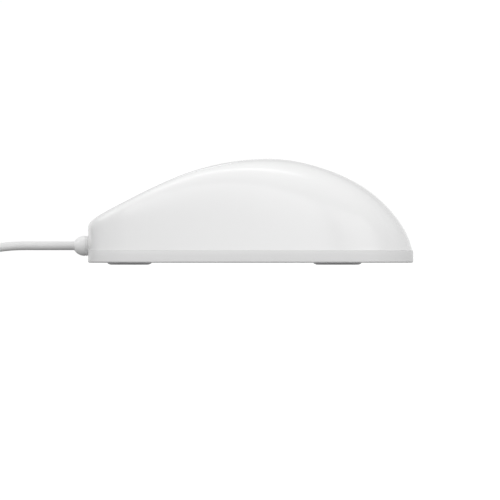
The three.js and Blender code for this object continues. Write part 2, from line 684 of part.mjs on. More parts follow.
// Strap round the winding, built across the +X side of the coil and turned to its place
function cableTie() {
  const inner = COIL_INNER - CABLE_DIAMETER / 2 - TIE_SLACK;
  const outer = COIL_OUTER + CABLE_DIAMETER / 2 + GAP;
  const bottom = COIL_BASE - GAP;
  const top = COIL_BASE + (COIL_LAYERS - 1) * LAYER_PITCH + CABLE_DIAMETER + GAP;
  const half = TIE_WIDTH / 2;
  const t = TIE_THICKNESS;
  const strap = box([inner - t, -half, bottom - t], [outer + t, half, top + t]);
  return strap.subtract(box([inner, -half - 1, bottom], [outer, half + 1, top]));
}

// Loft along +Y; each station is [y, half width, half height, squareness]
function lofted(stations) {
  return stacked(stations.map(([y, halfX, halfZ, power]) => ring(24, (angle) => {
    const [cx, cz] = squircle(angle, power);
    return [halfX * cx, y, -halfZ * cz];
  })));
}

// The plug's own frame: +Y towards its tip, origin where the cable enters
function plugMould() {
  const sleeve = Array.from({ length: MOULD_RIBS }, (_, i) => {
    const start = i * MOULD_RIB_PITCH;
    const radius = 2.4 + 0.2 * i;
    const rib = [[0, radius + 0.4], [1.2, radius + 0.5], [1.4, radius], [2.4, radius]];
    return rib.map(([along, r]) => [start + along, r, r, 2]);
  });
  return lofted([
    ...sleeve.flat(), [MOULD_RIBS * MOULD_RIB_PITCH, 3.2, 3.2, 2], [7, 3.5, 3.4, 2.4], [9.5, 6.4, 3.8, 4],
    [12, 7.6, 4, 6], [MOULD_LENGTH - 1, 7.8, 4, 6], [MOULD_LENGTH, 7.2, 3.5, 6],
  ]);
}

const PLUG_FACE = MOULD_LENGTH + GAP;

function plugShell() {
  const { length, halfWidth, halfHeight, wall } = PLUG_SHELL;
  const end = PLUG_FACE + length;
  const [innerX, innerZ] = [halfWidth - wall, halfHeight - wall];
  const tube = box([-halfWidth, PLUG_FACE, -halfHeight], [halfWidth, end, halfHeight])
    .subtract(box([-innerX, PLUG_FACE - 1, -innerZ], [innerX, end + 1, innerZ]));
  const windows = [-PLUG_WINDOW.x, PLUG_WINDOW.x].map((x) => box(
    [x - PLUG_WINDOW.half, PLUG_FACE + PLUG_WINDOW.start, 0],
    [x + PLUG_WINDOW.half, PLUG_FACE + PLUG_WINDOW.end, REACH],
  ));
  return cut(tube, windows);
}

function plugTongue() {
  const { halfWidth, bottom, top, setback } = TONGUE;
  return box([-halfWidth, PLUG_FACE, bottom], [halfWidth, PLUG_FACE + PLUG_SHELL.length - setback, top]);
}

function plugContact(x) {
  const { half, start, end, bottom, top } = CONTACT;
  return box([x - half, PLUG_FACE + start, bottom], [x + half, PLUG_FACE + end, top]);
}

// Four wires from the strain relief, under the board and up to its connector.
// Each point is followed by the step from one wire to the next.
const WIRE_ROUTE = [
  [[0, 52.3, 6.75], [0, 0, 1]], [[-1.5, 50, 6.6], [0, 0, 1]], [[-6, 47.6, 5.5], [0, 0, 1]],
  [[-12, 46, 5.2], [0, 0, 1]], [[-18, 42, 5.2], [0, 0, 1]], [[-22.4, 36, 5.6], [0, 0, 1]],
  [[-24, 30, 7.4], [0, 0.7, 0.8]], [[-24.2, 26.5, 11], [0, 1, 0.3]], [[-24, 24.5, 15], [0, 1, 0]],
  [[-22.4, 22, 18.6], [0.5, 1, 0]], [[-19, 19, 20.2], [1.3, 0.6, 0]], [[-17, 17.8, 19], [1.8, 0.1, 0]],
  [[-16.5, 17.5, 17.2], [1.9, 0, 0]],
];

const WIRE_COLOURS = [
  { name: 'red', color: 0xb3261e }, { name: 'white', color: 0xe6e6e6 },
  { name: 'green', color: 0x2e7d3a }, { name: 'black', color: 0x202020 },
];
const WIRE_RADIUS = 0.42;

function innerWire(place) {
  const route = WIRE_ROUTE.map(([point, step]) => point.map((value, i) => value + place * step[i]));
  return sweep(route, WIRE_RADIUS, 5, 20);
}

function cableHeader() {
  const { x, y, width, length, height, wall, floor } = HEADER;
  const well = centredBox(x, y, width / 2 - wall, length / 2 - wall, BOARD_SEAT + floor, REACH);
  return onBoard(x, y, width, length, height).subtract(well);
}

function wirePlug() {
  const { halfWidth, halfLength, bottom, top } = WIRE_PLUG;
  return centredBox(HEADER.x, HEADER.y, halfWidth, halfLength, bottom, top);
}

// ---------------------------------------------------------------- assembly
const mouse = new THREE.Group();

function add(name, body, look, group = mouse) {
  const mesh = new THREE.Mesh(geometryOf(body), look);
  mesh.name = name;
  group.add(mesh);
  return mesh;
}

add('top_shell', topShell(), WHITE);
add('left_key', key(-1), WHITE);
add('right_key', key(1), WHITE);
add('base_plate', basePlate(), BASE_WHITE);
PADS.forEach((pad) => add(pad.name, glidePad(pad), PAD));
add('label_plate', labelPlate(), BASE_WHITE);
Object.entries(CASE_SCREWS).forEach(([side, at]) => add(`case_screw_${side}`, caseScrew(at), STEEL));

add('scroll_tyre', scrollTyre(), RUBBER);
add('scroll_hub', scrollHub(), BLACK);
add('encoder_rotor', encoderRotor(), BASE_WHITE);
add('encoder_housing', encoderHousing(), BLACK);
add('axle_bush', axleBush(), BASE_WHITE);

add('circuit_board', board(), BOARD_GREEN);
add('left_switch', keySwitch(-1), BLACK);
add('right_switch', keySwitch(1), BLACK);
add('left_plunger', keyPlunger(-1), SWITCH_RED);
add('right_plunger', keyPlunger(1), SWITCH_RED);
add('middle_switch', middleSwitch(), BLACK);
add('middle_plunger', middlePlunger(), SWITCH_RED);
add('sensor_chip', chip(0, SENSOR_Y, 10, 12, 3, 4), BLACK);
add('sensor_lens', sensorLens(), CLEAR);
add('sensor_lamp', sensorLamp(), CLEAR);
add('lamp_clip', lampClip(), BLACK);
add('controller_chip', chip(-14.5, 6.5, 7.4, 10, 2, 8), BLACK);
add('timing_crystal', onBoard(13.5, 6, 4.6, 10.6, 3.4), STEEL);
add('capacitor_left', capacitor(-1), BLACK);
add('capacitor_right', capacitor(1), BLACK);
Object.entries(BOARD_SCREWS).forEach(([side, at]) => add(`board_screw_${side}`, boardScrew(at), STEEL));
add('cable_header', cableHeader(), BASE_WHITE);
add('wire_plug', wirePlug(), BASE_WHITE);
WIRE_COLOURS.forEach(({ name, color }, i) => {
  const place = i - (WIRE_COLOURS.length - 1) / 2;
  add(`wire_${name}`, innerWire(place), material(color, 0.5));
});

add('strain_relief', strainRelief(), CABLE_WHITE);
add('cable_lead', sweep(LEAD_ROUTE, CABLE_DIAMETER / 2, 8, 8), CABLE_WHITE);
add('cable_coil', cableCoil(), CABLE_WHITE);
add('cable_tail', sweep(TAIL_ROUTE, CABLE_DIAMETER / 2, 8, 5), CABLE_WHITE);
const tie = add('cable_tie', cableTie(), BLACK);
tie.position.set(...COIL_CENTRE, 0);
tie.rotation.z = TIE_ANGLE;

const plug = new THREE.Group();
plug.position.set(PLUG_X, PLUG_START, PLUG_Z);
mouse.add(plug);
add('plug_mould', plugMould(), CABLE_WHITE, plug);
add('plug_shell', plugShell(), STEEL, plug);
add('plug_tongue', plugTongue(), BASE_WHITE, plug);
CONTACT_PLACES.forEach((x, i) => add(`plug_contact_${i + 1}`, plugContact(x), GOLD, plug));

export default mouse;
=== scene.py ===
# A wired computer mouse: smooth visible surfaces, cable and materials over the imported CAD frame.
# Shapes are worked out in millimetres, in the CAD frame, and scaled to metres as each mesh is made.
import json
import math

import bmesh
import bpy
import numpy as np
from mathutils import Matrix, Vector
from mathutils.geometry import tessellate_polygon


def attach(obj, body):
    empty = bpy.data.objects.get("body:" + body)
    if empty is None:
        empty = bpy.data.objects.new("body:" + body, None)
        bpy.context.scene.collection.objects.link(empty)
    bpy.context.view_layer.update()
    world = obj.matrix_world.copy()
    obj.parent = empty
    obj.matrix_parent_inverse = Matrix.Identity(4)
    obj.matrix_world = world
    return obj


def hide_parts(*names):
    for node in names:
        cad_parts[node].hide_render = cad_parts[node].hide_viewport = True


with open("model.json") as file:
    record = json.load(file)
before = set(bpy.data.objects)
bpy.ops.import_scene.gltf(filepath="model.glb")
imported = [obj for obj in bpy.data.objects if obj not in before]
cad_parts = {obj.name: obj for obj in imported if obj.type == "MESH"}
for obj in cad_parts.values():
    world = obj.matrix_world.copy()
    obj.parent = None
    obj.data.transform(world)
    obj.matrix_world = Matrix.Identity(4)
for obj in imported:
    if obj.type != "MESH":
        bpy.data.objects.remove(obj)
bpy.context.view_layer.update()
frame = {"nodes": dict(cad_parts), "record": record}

MM = 0.001

# ---------------------------------------------------------------- driving dimensions (mm)
PAD_HEIGHT = 0.7  # underside of the case above the desk
BAND_TOP = 5.1  # parting line between top shell and base
GAP = 0.3
WALL = 2.0
KEY_WALL = 1.8
BURY = 0.4  # how far a post or rib reaches into the wall it stands on
EDGE_ROLL = 0.4  # rounding of the moulded edges
EDGE_FLAT = 0.15  # narrow facet beside a rounding, which keeps its shading local
RIM_ROLL = 0.08  # rounding of the top shell's lower rim
CIRCLE_START = 0.1  # turns the circles so that points of mirrored holes do not line up
ROLL_ANGLES = [math.radians(turn) for turn in (0, 22.5, 45, 67.5, 90)]

# Outer form: plan outline, crown curve, shoulder and the wheel's valley
HALF_LENGTH = 58.0
FRONT_REACH = 57.6
REAR_REACH = 57.7
HALF_WIDTH = 30.7
FRONT_POWER = 5.5
REAR_POWER = 2.6
WAIST_DEPTH = 0.045
WAIST_Y = 22.0
WAIST_SPREAD = 24.0
CROWN_HEIGHTS = [28.5, 35.9, 32.1, 28.5, 42.9, 26.1, 19.3, 10.9]
SHOULDER_POWER = 5.6
SHOULDER_RISE = 0.95
LEAN_MID = 0.08
LEAN_SLOPE = -0.06
LEAN_CURVE = -0.03
VALLEY_DEPTH = 3.6
VALLEY_SPREAD = 8.0
VALLEY_START = 2.0
VALLEY_FULL = 22.0
VALLEY_FADE_START = 36.0
VALLEY_FADE_SHARE = 0.65
SHELL_COLUMNS = 400
SHELL_ROWS = 84
SHELL_INNER_ROWS = 16

# Base: outer band from underside to lip and down inside, as (growth of the outline, height)
BAND_PROFILE = [
    (-0.9, 0.7), (-0.3, 0.7), (-0.08, 0.72), (0.12, 0.79), (0.26, 0.9), (0.35, 1.04), (0.38, 1.25),
    (0.38, 1.6), (0.31, 3.4), (0.25, 5.0), (0.24, 5.04), (0.21, 5.07), (0.16, 5.085), (0.03, 5.09),
    (-1.9, 5.09), (-1.95, 4.8), (-2.3, 4.8), (-2.3, 5.1), (-2.9, 7.0), (-3.3, 7.0), (-3.3, 2.7),
]
BASE_COLUMNS = 320
RIM_TURN = 12.0  # mm of outline that a radian of its turning counts as, when columns are shared out
FLOOR_TOP = 2.7
MOUTH_ROLL = 0.2  # rounding where a recess opens in the underside
MOUTH_MARGIN = EDGE_FLAT + MOUTH_ROLL

# What the underside carries: (y, half length, half width)
PADS = {"front_glide_pad": (43.2, 7.8, 19.0), "rear_glide_pad": (-31.0, 8.5, 18.0)}
PAD_RECESS_TOP = 1.0
PAD_PROFILE = [(-1.6, 0.0), (-1.3, 0.0), (-1.0, 0.025), (-0.35, 0.24), (-0.12, 0.36), (0.0, 0.5), (0.0, 0.95)]
LABEL = (-9.5, 6.5, 15.0)
LABEL_RECESS_TOP = 1.2
LABEL_PROFILE = [(-0.3, 0.8), (-0.15, 0.8), (-0.04, 0.83), (0.0, 0.9), (0.0, 1.15)]
SENSOR_Y = 5.0
SENSOR_HALF = (6.5, 4.5)
SENSOR_CORNER = 1.2

# Screws and supports; steps are (radius, height) from the foot up
CASE_SCREWS = [(-22.0, -18.5), (22.0, -18.5), (0.0, -47.0)]
POST_RADIUS = 3.0
POST_STEPS = [(1.3, 14.0), (1.3, 4.7), (POST_RADIUS, 4.7)]
WELL_RADIUS = 3.3
WELL_FLOOR = 3.2
WELL_STEPS = [(1.7, WELL_FLOOR), (1.7, 4.4), (4.8, 4.4), (4.8, FLOOR_TOP)]
BOARD_SCREWS = [(-19.0, -11.0), (19.0, -11.0)]
BOARD_SCREW_STEPS = [(2.2, FLOOR_TOP), (2.2, 7.7), (1.2, 7.7), (1.2, 3.6)]
BOARD_RESTS = [(-19.0, 24.0), (19.0, 24.0)]
BOARD_REST_STEPS = [(2.2, FLOOR_TOP), (2.2, 7.7)]
BUSH_GUIDE_SIDES = (-8.2, -6.8)
BUSH_GUIDE_LENGTH = 1.6

# Keys: one panel outline split along the middle
PANEL_Y = 28.0
PANEL_HALF_LENGTH = 25.5
PANEL_HALF_WIDTH = 22.5
PANEL_POWER = 5.0
KEY_SPLIT = 0.7
KEY_CORNER = 0.8
KEY_END = 2.0  # the panel's outline gives way to the straight split this far out
KEY_ACROSS = 56
KEY_ALONG = 132
SLOT_HALF_WIDTH = 4.4
SLOT_REAR = 19.5
SLOT_FRONT = 44.0
SLOT_CORNER = 2.9
KEY_SWITCH_X = 15.5
KEY_PRESS_Y = 41.0
KEY_STEM_HALF = 1.6
KEY_STEM_FOOT = 16.6
KEY_RIB_HALF = 0.6
KEY_RIB_REAR = 12.0
KEY_RIB_DEPTH = 2.2

# Scroll wheel
WHEEL_Y = 28.0
WHEEL_Z = 17.4
WHEEL_RADIUS = 11.0
WHEEL_HALF = 3.5
TYRE_DEPTH = 2.2
TYRE_SHOULDER = 0.9  # fall of the tread at its two edges
TYRE_CROWN = 0.25
TYRE_EDGE = 0.5
TYRE_STATIONS = 29
TYRE_RIBS = 42
SIDES_PER_RIB = 10
RIB_DEPTH = 0.55
RIB_FADE = 9.0  # steepness with which the ribs run out towards the tyre's sides
BUSH_GUIDE_REARS = (WHEEL_Y - 3.4, WHEEL_Y + 1.8)
BUSH_GUIDE_TOP = WHEEL_Z + 2.4

# Cable: straight out of the relief, down to the desk, and wound up beyond the view
CABLE_RADIUS = 1.55
CABLE_EXIT_Z = 6.75
COIL_CENTRE = (16.0, 121.0)
COIL_INNER = 14.6
COIL_OUTER = 24.2
COIL_LAYERS = 4
COIL_BASE = 1.0
LAYER_PITCH = 3.15
COIL_START = math.radians(195)
COIL_TURN = 14 * 2 * math.pi + math.radians(15)
LAYER_STEPS = 48  # three turns of sixteen steps in each layer
CLIMB_STEPS = 11  # from one layer up to the next
COIL_STEP = COIL_TURN / (COIL_LAYERS * LAYER_STEPS + (COIL_LAYERS - 1) * CLIMB_STEPS)
PLUG = (COIL_CENTRE[0] - COIL_OUTER, 155.6, 4.1)
LEAD_ROUTE = [
    (0, 60.5, 6.75), (0, 63.1, 6.75), (0, 67, 6.75), (0, 71.5, 6.75), (0, 76, 6.75), (0, 80.5, 6.75),
    (-0.2, 85, 6.6), (-0.8, 89.5, 6.15), (-1.85, 94, 5.35), (-3.03, 98.5, 4.3), (-3.75, 101.2, 3.7),
    (-5.05, 106, 2.95), (-6.3, 110.7, 2.6),
]
TAIL_ROUTE = [
    (PLUG[0], 125.5, 11.95), (PLUG[0], 130.5, 11.6), (PLUG[0], 135, 11), (PLUG[0], 139, 9.8),
    (PLUG[0], 143.5, 7.9), (PLUG[0], 148, 6), (PLUG[0], 152, 4.7), (PLUG[0], 156.6, 4.1),
]

# Strain relief: a flange inside the case, a collar with two grooves, and a dome
RELIEF_RADIUS = 3.6
RELIEF_NECK = 2.4
RELIEF_TIP = 62.8
FLANGE_REAR = 52.6
FLANGE_FRONT = 53.9
FLANGE_EDGE = 0.1
COLLAR_START = 57.35
COLLAR_EDGE = 0.08
DOME_START = 59.2
DOME_TURN = 1.08
RELIEF_GROOVES = [58.22, 58.84]
GROOVE_HALF = [(0.2, 0.0), (0.13, 0.02), (0.05, 0.2)]  # (distance from its middle, depth)
GROOVE_DEPTH = 0.24
RELIEF_BORE = [(2.7, 50.0), (2.7, 57.2), (3.72, 57.2), (3.72, 62.0)]

# Strap round the coil
TIE_ANGLE = -1.1
TIE_HALF_WIDTH = 3.0
TIE_THICKNESS = 0.6
TIE_EDGE = 0.28
TIE_CLEAR = 0.15
TIE_OVERLAP = 9.0
TIE_LIFT = 0.66  # of the end that lies on the strap's own start
TIE_RAMP = 2.0
TIE_START = 6.0
TIE_STATIONS = 190
TIE_CORNER_STEPS = 12

# Plug grip: stations are (along, half width, half height, squareness)
PLUG_STATIONS = [
    (0.0, 2.2, 2.2, 2.0), (6.6, 2.75, 2.75, 2.0), (9.0, 6.2, 3.6, 3.4), (12.0, 7.6, 4.0, 6.0),
    (22.0, 7.8, 4.0, 6.0), (32.0, 7.7, 3.95, 6.0),
]
PLUG_LENGTH = 32.0
PLUG_END_ROLL = 0.8
PLUG_SIDES = 72
PLUG_RIBS = [(0.2, 1.5), (2.7, 4.0), (5.2, 6.5)]
PLUG_RIB_RAMP = 0.35
PLUG_RIB_HEIGHT = 0.5

# Studio: the surroundings' brightness by height, as the share of the way from straight down to up
WORLD_STOPS = [(0.0, 0.02), (0.42, 0.60), (0.48, 0.95), (0.55, 0.95), (0.66, 0.52), (1.0, 0.86)]
BACKDROP = 1.02
FLOOR_HALF = 6.0  # metres, as are the places and sizes of the lights
FLOOR_DROP = 0.0001
FLOOR_GREY = 0.3
FLOOR_GLOW = 0.85
LIGHT_TARGET = (0, 0, 0.02)
SOFTBOXES = {  # place, size, watts
    "fill": ((-1.5, 0.0, 0.55), (1.4, 0.8), 6.9),
    "front": ((-0.1, 1.3, 0.95), (1.0, 0.8), 3.8),
    "rear_side": ((-1.0, -1.1, 0.45), (0.9, 0.8), 3.6),
    "strip": ((0.0, 0.1, 1.4), (0.12, 1.2), 2.6),
}

# Camera
CAMERA_DISTANCE = 5000.0  # a long lens, as the outline shows almost no perspective
CAMERA_AIM = (0.2, 5.25)  # y and z of the level line of sight
SEEN_WIDTH = 178.5  # width of the view at the middle of the mouse
FILM_WIDTH = 36.0


# ---------------------------------------------------------------- camera
def add_camera():
    """Level view of the left side, with the cable leaving to the left."""
    camera = bpy.data.objects.new("camera", bpy.data.cameras.new("camera"))
    bpy.context.scene.collection.objects.link(camera)
    camera.location = (-CAMERA_DISTANCE * MM, CAMERA_AIM[0] * MM, CAMERA_AIM[1] * MM)
    camera.rotation_euler = (math.pi / 2, 0, -math.pi / 2)
    camera.data.sensor_width = FILM_WIDTH
    camera.data.lens = FILM_WIDTH * CAMERA_DISTANCE / SEEN_WIDTH
    camera.data.clip_start = 0.1
    camera.data.clip_end = 20
    bpy.context.scene.camera = camera


# ---------------------------------------------------------------- material nodes
class Look:
    """A Principled material and short ways to add nodes to it."""

    def __init__(self, name, colour, roughness, metallic=0.0):
        self.material = bpy.data.materials.new(name)
        self.material.use_nodes = True
        self.tree = self.material.node_tree
        self.shader = self.tree.nodes["Principled BSDF"]
        self.set("Base Color", (*colour, 1))
        self.set("Roughness", roughness)
        self.set("Metallic", metallic)
        self.colour = colour
        self.roughness = roughness
        self.place = self.node("ShaderNodeTexCoord").outputs["Object"]

    def node(self, kind, **settings):
        made = self.tree.nodes.new(kind)
        for key, value in settings.items():
            setattr(made, key, value)
        return made

    def link(self, source, target):
        self.tree.links.new(source, target)

    def set(self, socket, value):
        self.shader.inputs[socket].default_value = value

    def noise(self, size_mm, detail=2.0, stretch=(1, 1, 1)):
        scale = self.node("ShaderNodeMapping")
        scale.inputs["Scale"].default_value = [s / (size_mm * MM) for s in stretch]
        self.link(self.place, scale.inputs["Vector"])
        noise = self.node("ShaderNodeTexNoise")
        noise.inputs["Scale"].default_value = 1
        noise.inputs["Detail"].default_value = detail
        self.link(scale.outputs["Vector"], noise.inputs["Vector"])
        return noise.outputs["Fac"]

    def spread(self, source, low, high):
        """source, from 0.3 to 0.7 where most noise lies, mapped to low..high."""
        made = self.node("ShaderNodeMapRange")
        self.link(source, made.inputs["Value"])
        for key, value in zip(("From Min", "From Max", "To Min", "To Max"), (0.3, 0.7, low, high)):
            made.inputs[key].default_value = value
        return made.outputs["Result"]

    def mottle(self, source, share):
        """Base colour drifting by share to either side."""
        mix = self.node("ShaderNodeMix", data_type="RGBA")
        self.link(self.spread(source, 0, 1), mix.inputs["Factor"])
        mix.inputs["A"].default_value = (*[c * (1 - share) for c in self.colour], 1)
        mix.inputs["B"].default_value = (*[min(1, c * (1 + share)) for c in self.colour], 1)
        self.link(mix.outputs["Result"], self.shader.inputs["Base Color"])

    def gloss(self, source, drift):
        rough = self.spread(source, self.roughness - drift, self.roughness + drift)
        self.link(rough, self.shader.inputs["Roughness"])

    def bumps(self, *layers):
        """Chained bumps; each layer is (height source, depth in mm)."""
        normal = None
        for source, depth in layers:
            bump = self.node("ShaderNodeBump")
            bump.inputs["Distance"].default_value = depth * MM
            bump.inputs["Strength"].default_value = 1
            self.link(source, bump.inputs["Height"])
            if normal:
                self.link(normal, bump.inputs["Normal"])
            normal = bump.outputs["Normal"]
        self.link(normal, self.shader.inputs["Normal"])


def moulded(name, colour, roughness, drift=0.02, mottle=0.005, grain_mm=0.22, grain_depth=0.0004):
    """Moulded plastic: a very fine spark-eroded grain, slow gloss drift and a trace of flow marks."""
    look = Look(name, colour, roughness)
    look.mottle(look.noise(24, 1), mottle)
    look.gloss(look.noise(6, 4), drift)
    look.bumps((look.noise(grain_mm, 3), grain_depth))
    return look


def build_looks():
    looks = {}
    looks["casing"] = moulded("casing_plastic", (0.80, 0.80, 0.80), 0.2)
    looks["base"] = moulded("base_plastic", (0.70, 0.70, 0.70), 0.36, grain_mm=0.3, grain_depth=0.0015)
    looks["cable"] = moulded("cable_vinyl", (0.68, 0.68, 0.68), 0.38, grain_mm=0.5, grain_depth=0.002)
    looks["relief"] = moulded("relief_vinyl", (0.80, 0.80, 0.80), 0.4, grain_mm=0.4, grain_depth=0.002)
    looks["glide_pad"] = moulded("pad_plastic", (0.58, 0.58, 0.59), 0.45, mottle=0.05, grain_depth=0.004)
    looks["inner_plastic"] = moulded("inner_plastic", (0.62, 0.62, 0.61), 0.45)
    looks["dark_plastic"] = moulded("dark_plastic", (0.03, 0.03, 0.032), 0.4, mottle=0.15)
    looks["switch_red"] = moulded("switch_plastic", (0.50, 0.05, 0.04), 0.35, mottle=0.05)
    looks["tyre_rubber"] = rubber_look()
    looks["clear_plastic"] = clear_look()
    looks["board_green"] = board_look()
    looks["steel"] = metal_look("plated_steel", (0.62, 0.63, 0.64), 0.27)
    looks["gold"] = metal_look("gold_plating", (0.83, 0.62, 0.25), 0.22)
    looks["strap"] = strap_look()
    wires = {"red": (0.45, 0.03, 0.02), "white": (0.75, 0.75, 0.74)}
    wires.update({"green": (0.04, 0.25, 0.06), "black": (0.02, 0.02, 0.02)})
    for colour, value in wires.items():
        looks[f"wire_{colour}"] = moulded(f"wire_{colour}", value, 0.4, mottle=0.04)
    return {name: look.material for name, look in looks.items()}


def rubber_look():
    """Matt grey rubber with a fine pitted skin."""
    look = Look("tyre_rubber", (0.20, 0.20, 0.21), 0.62)
    look.mottle(look.noise(3, 4), 0.08)
    look.gloss(look.noise(1.5, 4), 0.08)
    look.bumps((look.noise(0.18, 4), 0.02))
    return look


def clear_look():
    """Clear plastic of the sensor's lens and lamp."""
    look = Look("clear_plastic", (0.93, 0.96, 0.97), 0.07)
    look.set("Transmission Weight", 1.0)
    look.set("IOR", 1.49)
    look.mottle(look.noise(4, 2), 0.02)
    look.bumps((look.noise(3, 1), 0.01))
    return look


def metal_look(name, colour, roughness):
    """Plated metal with fine drawing lines and uneven gloss."""
    look = Look(name, colour, roughness, 1.0)
    look.mottle(look.noise(2.5, 4), 0.06)
    look.gloss(look.noise(0.6, 3, (1, 0.08, 1)), 0.09)
    look.bumps((look.noise(0.12, 2, (1, 0.04, 1)), 0.002))
    return look


def board_look():
    """Solder mask over copper; a cell pattern stands in for the tracks."""
    look = Look("circuit_board", (0.02, 0.16, 0.05), 0.33)
    tracks = look.node("ShaderNodeTexBrick")
    tracks.inputs["Scale"].default_value = 260
    tracks.inputs["Mortar Size"].default_value = 0.06
    tracks.inputs["Color1"].default_value = (0.02, 0.16, 0.05, 1)
    tracks.inputs["Color2"].default_value = (0.025, 0.19, 0.06, 1)
    tracks.inputs["Mortar"].default_value = (0.05, 0.27, 0.09, 1)
    look.link(look.place, tracks.inputs["Vector"])
    look.link(tracks.outputs["Color"], look.shader.inputs["Base Color"])
    look.gloss(look.noise(2, 3), 0.06)
    look.bumps((tracks.outputs["Fac"], 0.02))
    return look


def strap_look():
    """Woven strap of the cable tie: two crossed waves of threads."""
    look = Look("woven_strap", (0.36, 0.37, 0.38), 0.85)
    look.set("Sheen Weight", 0.4)
    look.mottle(look.noise(1.2, 4), 0.2)
    across = look.node("ShaderNodeTexWave", bands_direction="Z")
    along = look.node("ShaderNodeTexWave", bands_direction="DIAGONAL")
    for wave in (across, along):
        wave.inputs["Scale"].default_value = 420
        wave.inputs["Distortion"].default_value = 0.4
        look.link(look.place, wave.inputs["Vector"])
    look.bumps((across.outputs["Fac"], 0.05), (along.outputs["Fac"], 0.05), (look.noise(0.15, 3), 0.03))
    return look


# ---------------------------------------------------------------- mesh making
class Surface:
    """Points and faces of one piece, in millimetres, built from rings and grids."""

    def __init__(self):
        self.points = []
        self.faces = []
        self.count = 0

    def add(self, points):
        points = np.asarray(points, float)
        first = self.count
        self.points.append(points.reshape(-1, 3))
        self.count += points.size // 3
        return first + np.arange(points.size // 3).reshape(points.shape[:-1])

    def quads(self, a, b, c, d):
        self.faces.extend(np.stack([x.ravel() for x in (a, b, c, d)], 1).tolist())

    def bridge(self, first, second):
        """Closes the strip between two rings of equal count."""
        self.quads(first, np.roll(first, -1), np.roll(second, -1), second)

    def grid(self, index):
        self.quads(index[:-1, :-1], index[1:, :-1], index[1:, 1:], index[:-1, 1:])

    def tube(self, rings):
        index = [self.add(ring) for ring in rings]
        for first, second in zip(index, index[1:]):
            self.bridge(first, second)
        return index

    def cap(self, ring):
        self.faces.append(ring.tolist())

    def fill(self, outer, holes):
        """Flat faces inside the outer loop and outside the holes."""
        loops = [outer, *holes]
        every = np.concatenate(self.points)
        polygons = [[Vector(every[i]) for i in loop] for loop in loops]
        index = np.concatenate(loops)
        self.faces.extend([index[k] for k in triangle] for triangle in tessellate_polygon(polygons))

    def as_object(self, name, look, sharp_deg=38):
        mesh = bpy.data.meshes.new(name)
        faces = [[int(i) for i in face] for face in self.faces]
        mesh.from_pydata((np.concatenate(self.points) * MM).tolist(), [], faces)
        shaped = bmesh.new()
        shaped.from_mesh(mesh)
        bmesh.ops.recalc_face_normals(shaped, faces=shaped.faces)
        shaped.to_mesh(mesh)
        shaped.free()
        mesh.shade_smooth()
        mesh.set_sharp_from_angle(angle=math.radians(sharp_deg))
        mesh.materials.append(look)
        obj = bpy.data.objects.new(name, mesh)
        bpy.context.scene.collection.objects.link(obj)
        return obj

    def piece(self, name, look, body, slot, replaces):
        obj = self.as_object(name, look)
        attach(obj, body)
        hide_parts(*replaces)
        return obj


def bored(obj):
    """Cuts the stepped hole of the strain relief through the front of a piece."""
    cutter = Surface()
    index = cutter.tube(lathe_points(RELIEF_BORE, "y", (0, 0, CABLE_EXIT_Z), 96))
    cutter.cap(index[0])
    cutter.cap(index[-1])
    tool = cutter.as_object("bore_tool", obj.data.materials[0])
    cut = obj.modifiers.new("bore", "BOOLEAN")
    cut.object = tool
    cut.operation = "DIFFERENCE"
    cut.solver = "EXACT"
    bpy.context.view_layer.update()
    seen = obj.evaluated_get(bpy.context.evaluated_depsgraph_get())
    mesh = bpy.data.meshes.new_from_object(seen)
    obj.modifiers.clear()
    obj.data = mesh
    bpy.data.objects.remove(tool)
    return obj


def at_height(xy, z):
    """(N, 2) plan points and one height or N heights, as (N, 3)."""
    return np.column_stack([xy, np.broadcast_to(z, len(xy))])


def resampled(points, count, closed=False, turn_mm=1.2):
    """count points along a plan line, closer together where it turns: a radian counts as turn_mm."""
    line = np.vstack([points, points[:1]]) if closed else points
    steps = np.diff(line, axis=0)
    headings = np.unwrap(np.arctan2(steps[:, 1], steps[:, 0]))
    turns = np.abs(np.diff(headings, prepend=headings[:1]))
    measure = np.concatenate([[0], np.cumsum(np.linalg.norm(steps, axis=1) + turn_mm * turns)])
    stations = np.linspace(0, measure[-1], count + 1)[:-1] if closed else np.linspace(0, measure[-1], count)
    return np.column_stack([np.interp(stations, measure, line[:, k]) for k in range(2)])


def grown(loop, amount):
    """A closed anticlockwise plan loop moved outwards by amount."""
    along = np.roll(loop, -1, 0) - np.roll(loop, 1, 0)
    out = np.column_stack([along[:, 1], -along[:, 0]])
    return loop + amount * out / np.linalg.norm(out, axis=1, keepdims=True)


def filleted(corners, steps=8):
    """Plan line through (x, y, radius) corners, each rounded by an arc of its radius."""
    line = []
    count = len(corners)
    for i, (x, y, radius) in enumerate(corners):
        here = np.array([x, y])
        if radius == 0:
            line.append(here)
            continue
        before = np.array(corners[i - 1][:2]) - here
        after = np.array(corners[(i + 1) % count][:2]) - here
        before /= np.linalg.norm(before)
        after /= np.linalg.norm(after)
        half = 0.5 * math.acos(np.clip(before @ after, -1, 1))
        middle = before + after
        centre = here + middle / np.linalg.norm(middle) * radius / math.sin(half)
        start = here + before * radius / math.tan(half) - centre
        end = here + after * radius / math.tan(half) - centre
        for t in np.linspace(0, 1, steps + 1):
            spoke = start * (1 - t) + end * t
            line.append(centre + spoke / np.linalg.norm(spoke) * radius)
    return np.array(line)


def squircle(angle, power):
    c, s = np.cos(angle), np.sin(angle)
    reach = (np.abs(c) ** power + np.abs(s) ** power) ** (-1 / power)
    return c * reach, s * reach


def squircle_loop(centre_y, half_length, half_width, power=5.0, count=96):
    cx, cy = squircle(np.linspace(0, 2 * math.pi, 720, endpoint=False), power)
    return resampled(np.column_stack([half_width * cx, centre_y + half_length * cy]), count, closed=True)


def circle_loop(x, y, radius, count=40):
    angle = np.linspace(0, 2 * math.pi, count, endpoint=False) + CIRCLE_START
    return np.column_stack([x + radius * np.cos(angle), y + radius * np.sin(angle)])


# ---------------------------------------------------------------- the outer form
def smooth(t):
    u = np.clip(t, 0, 1)
    return u * u * (3 - 2 * u)


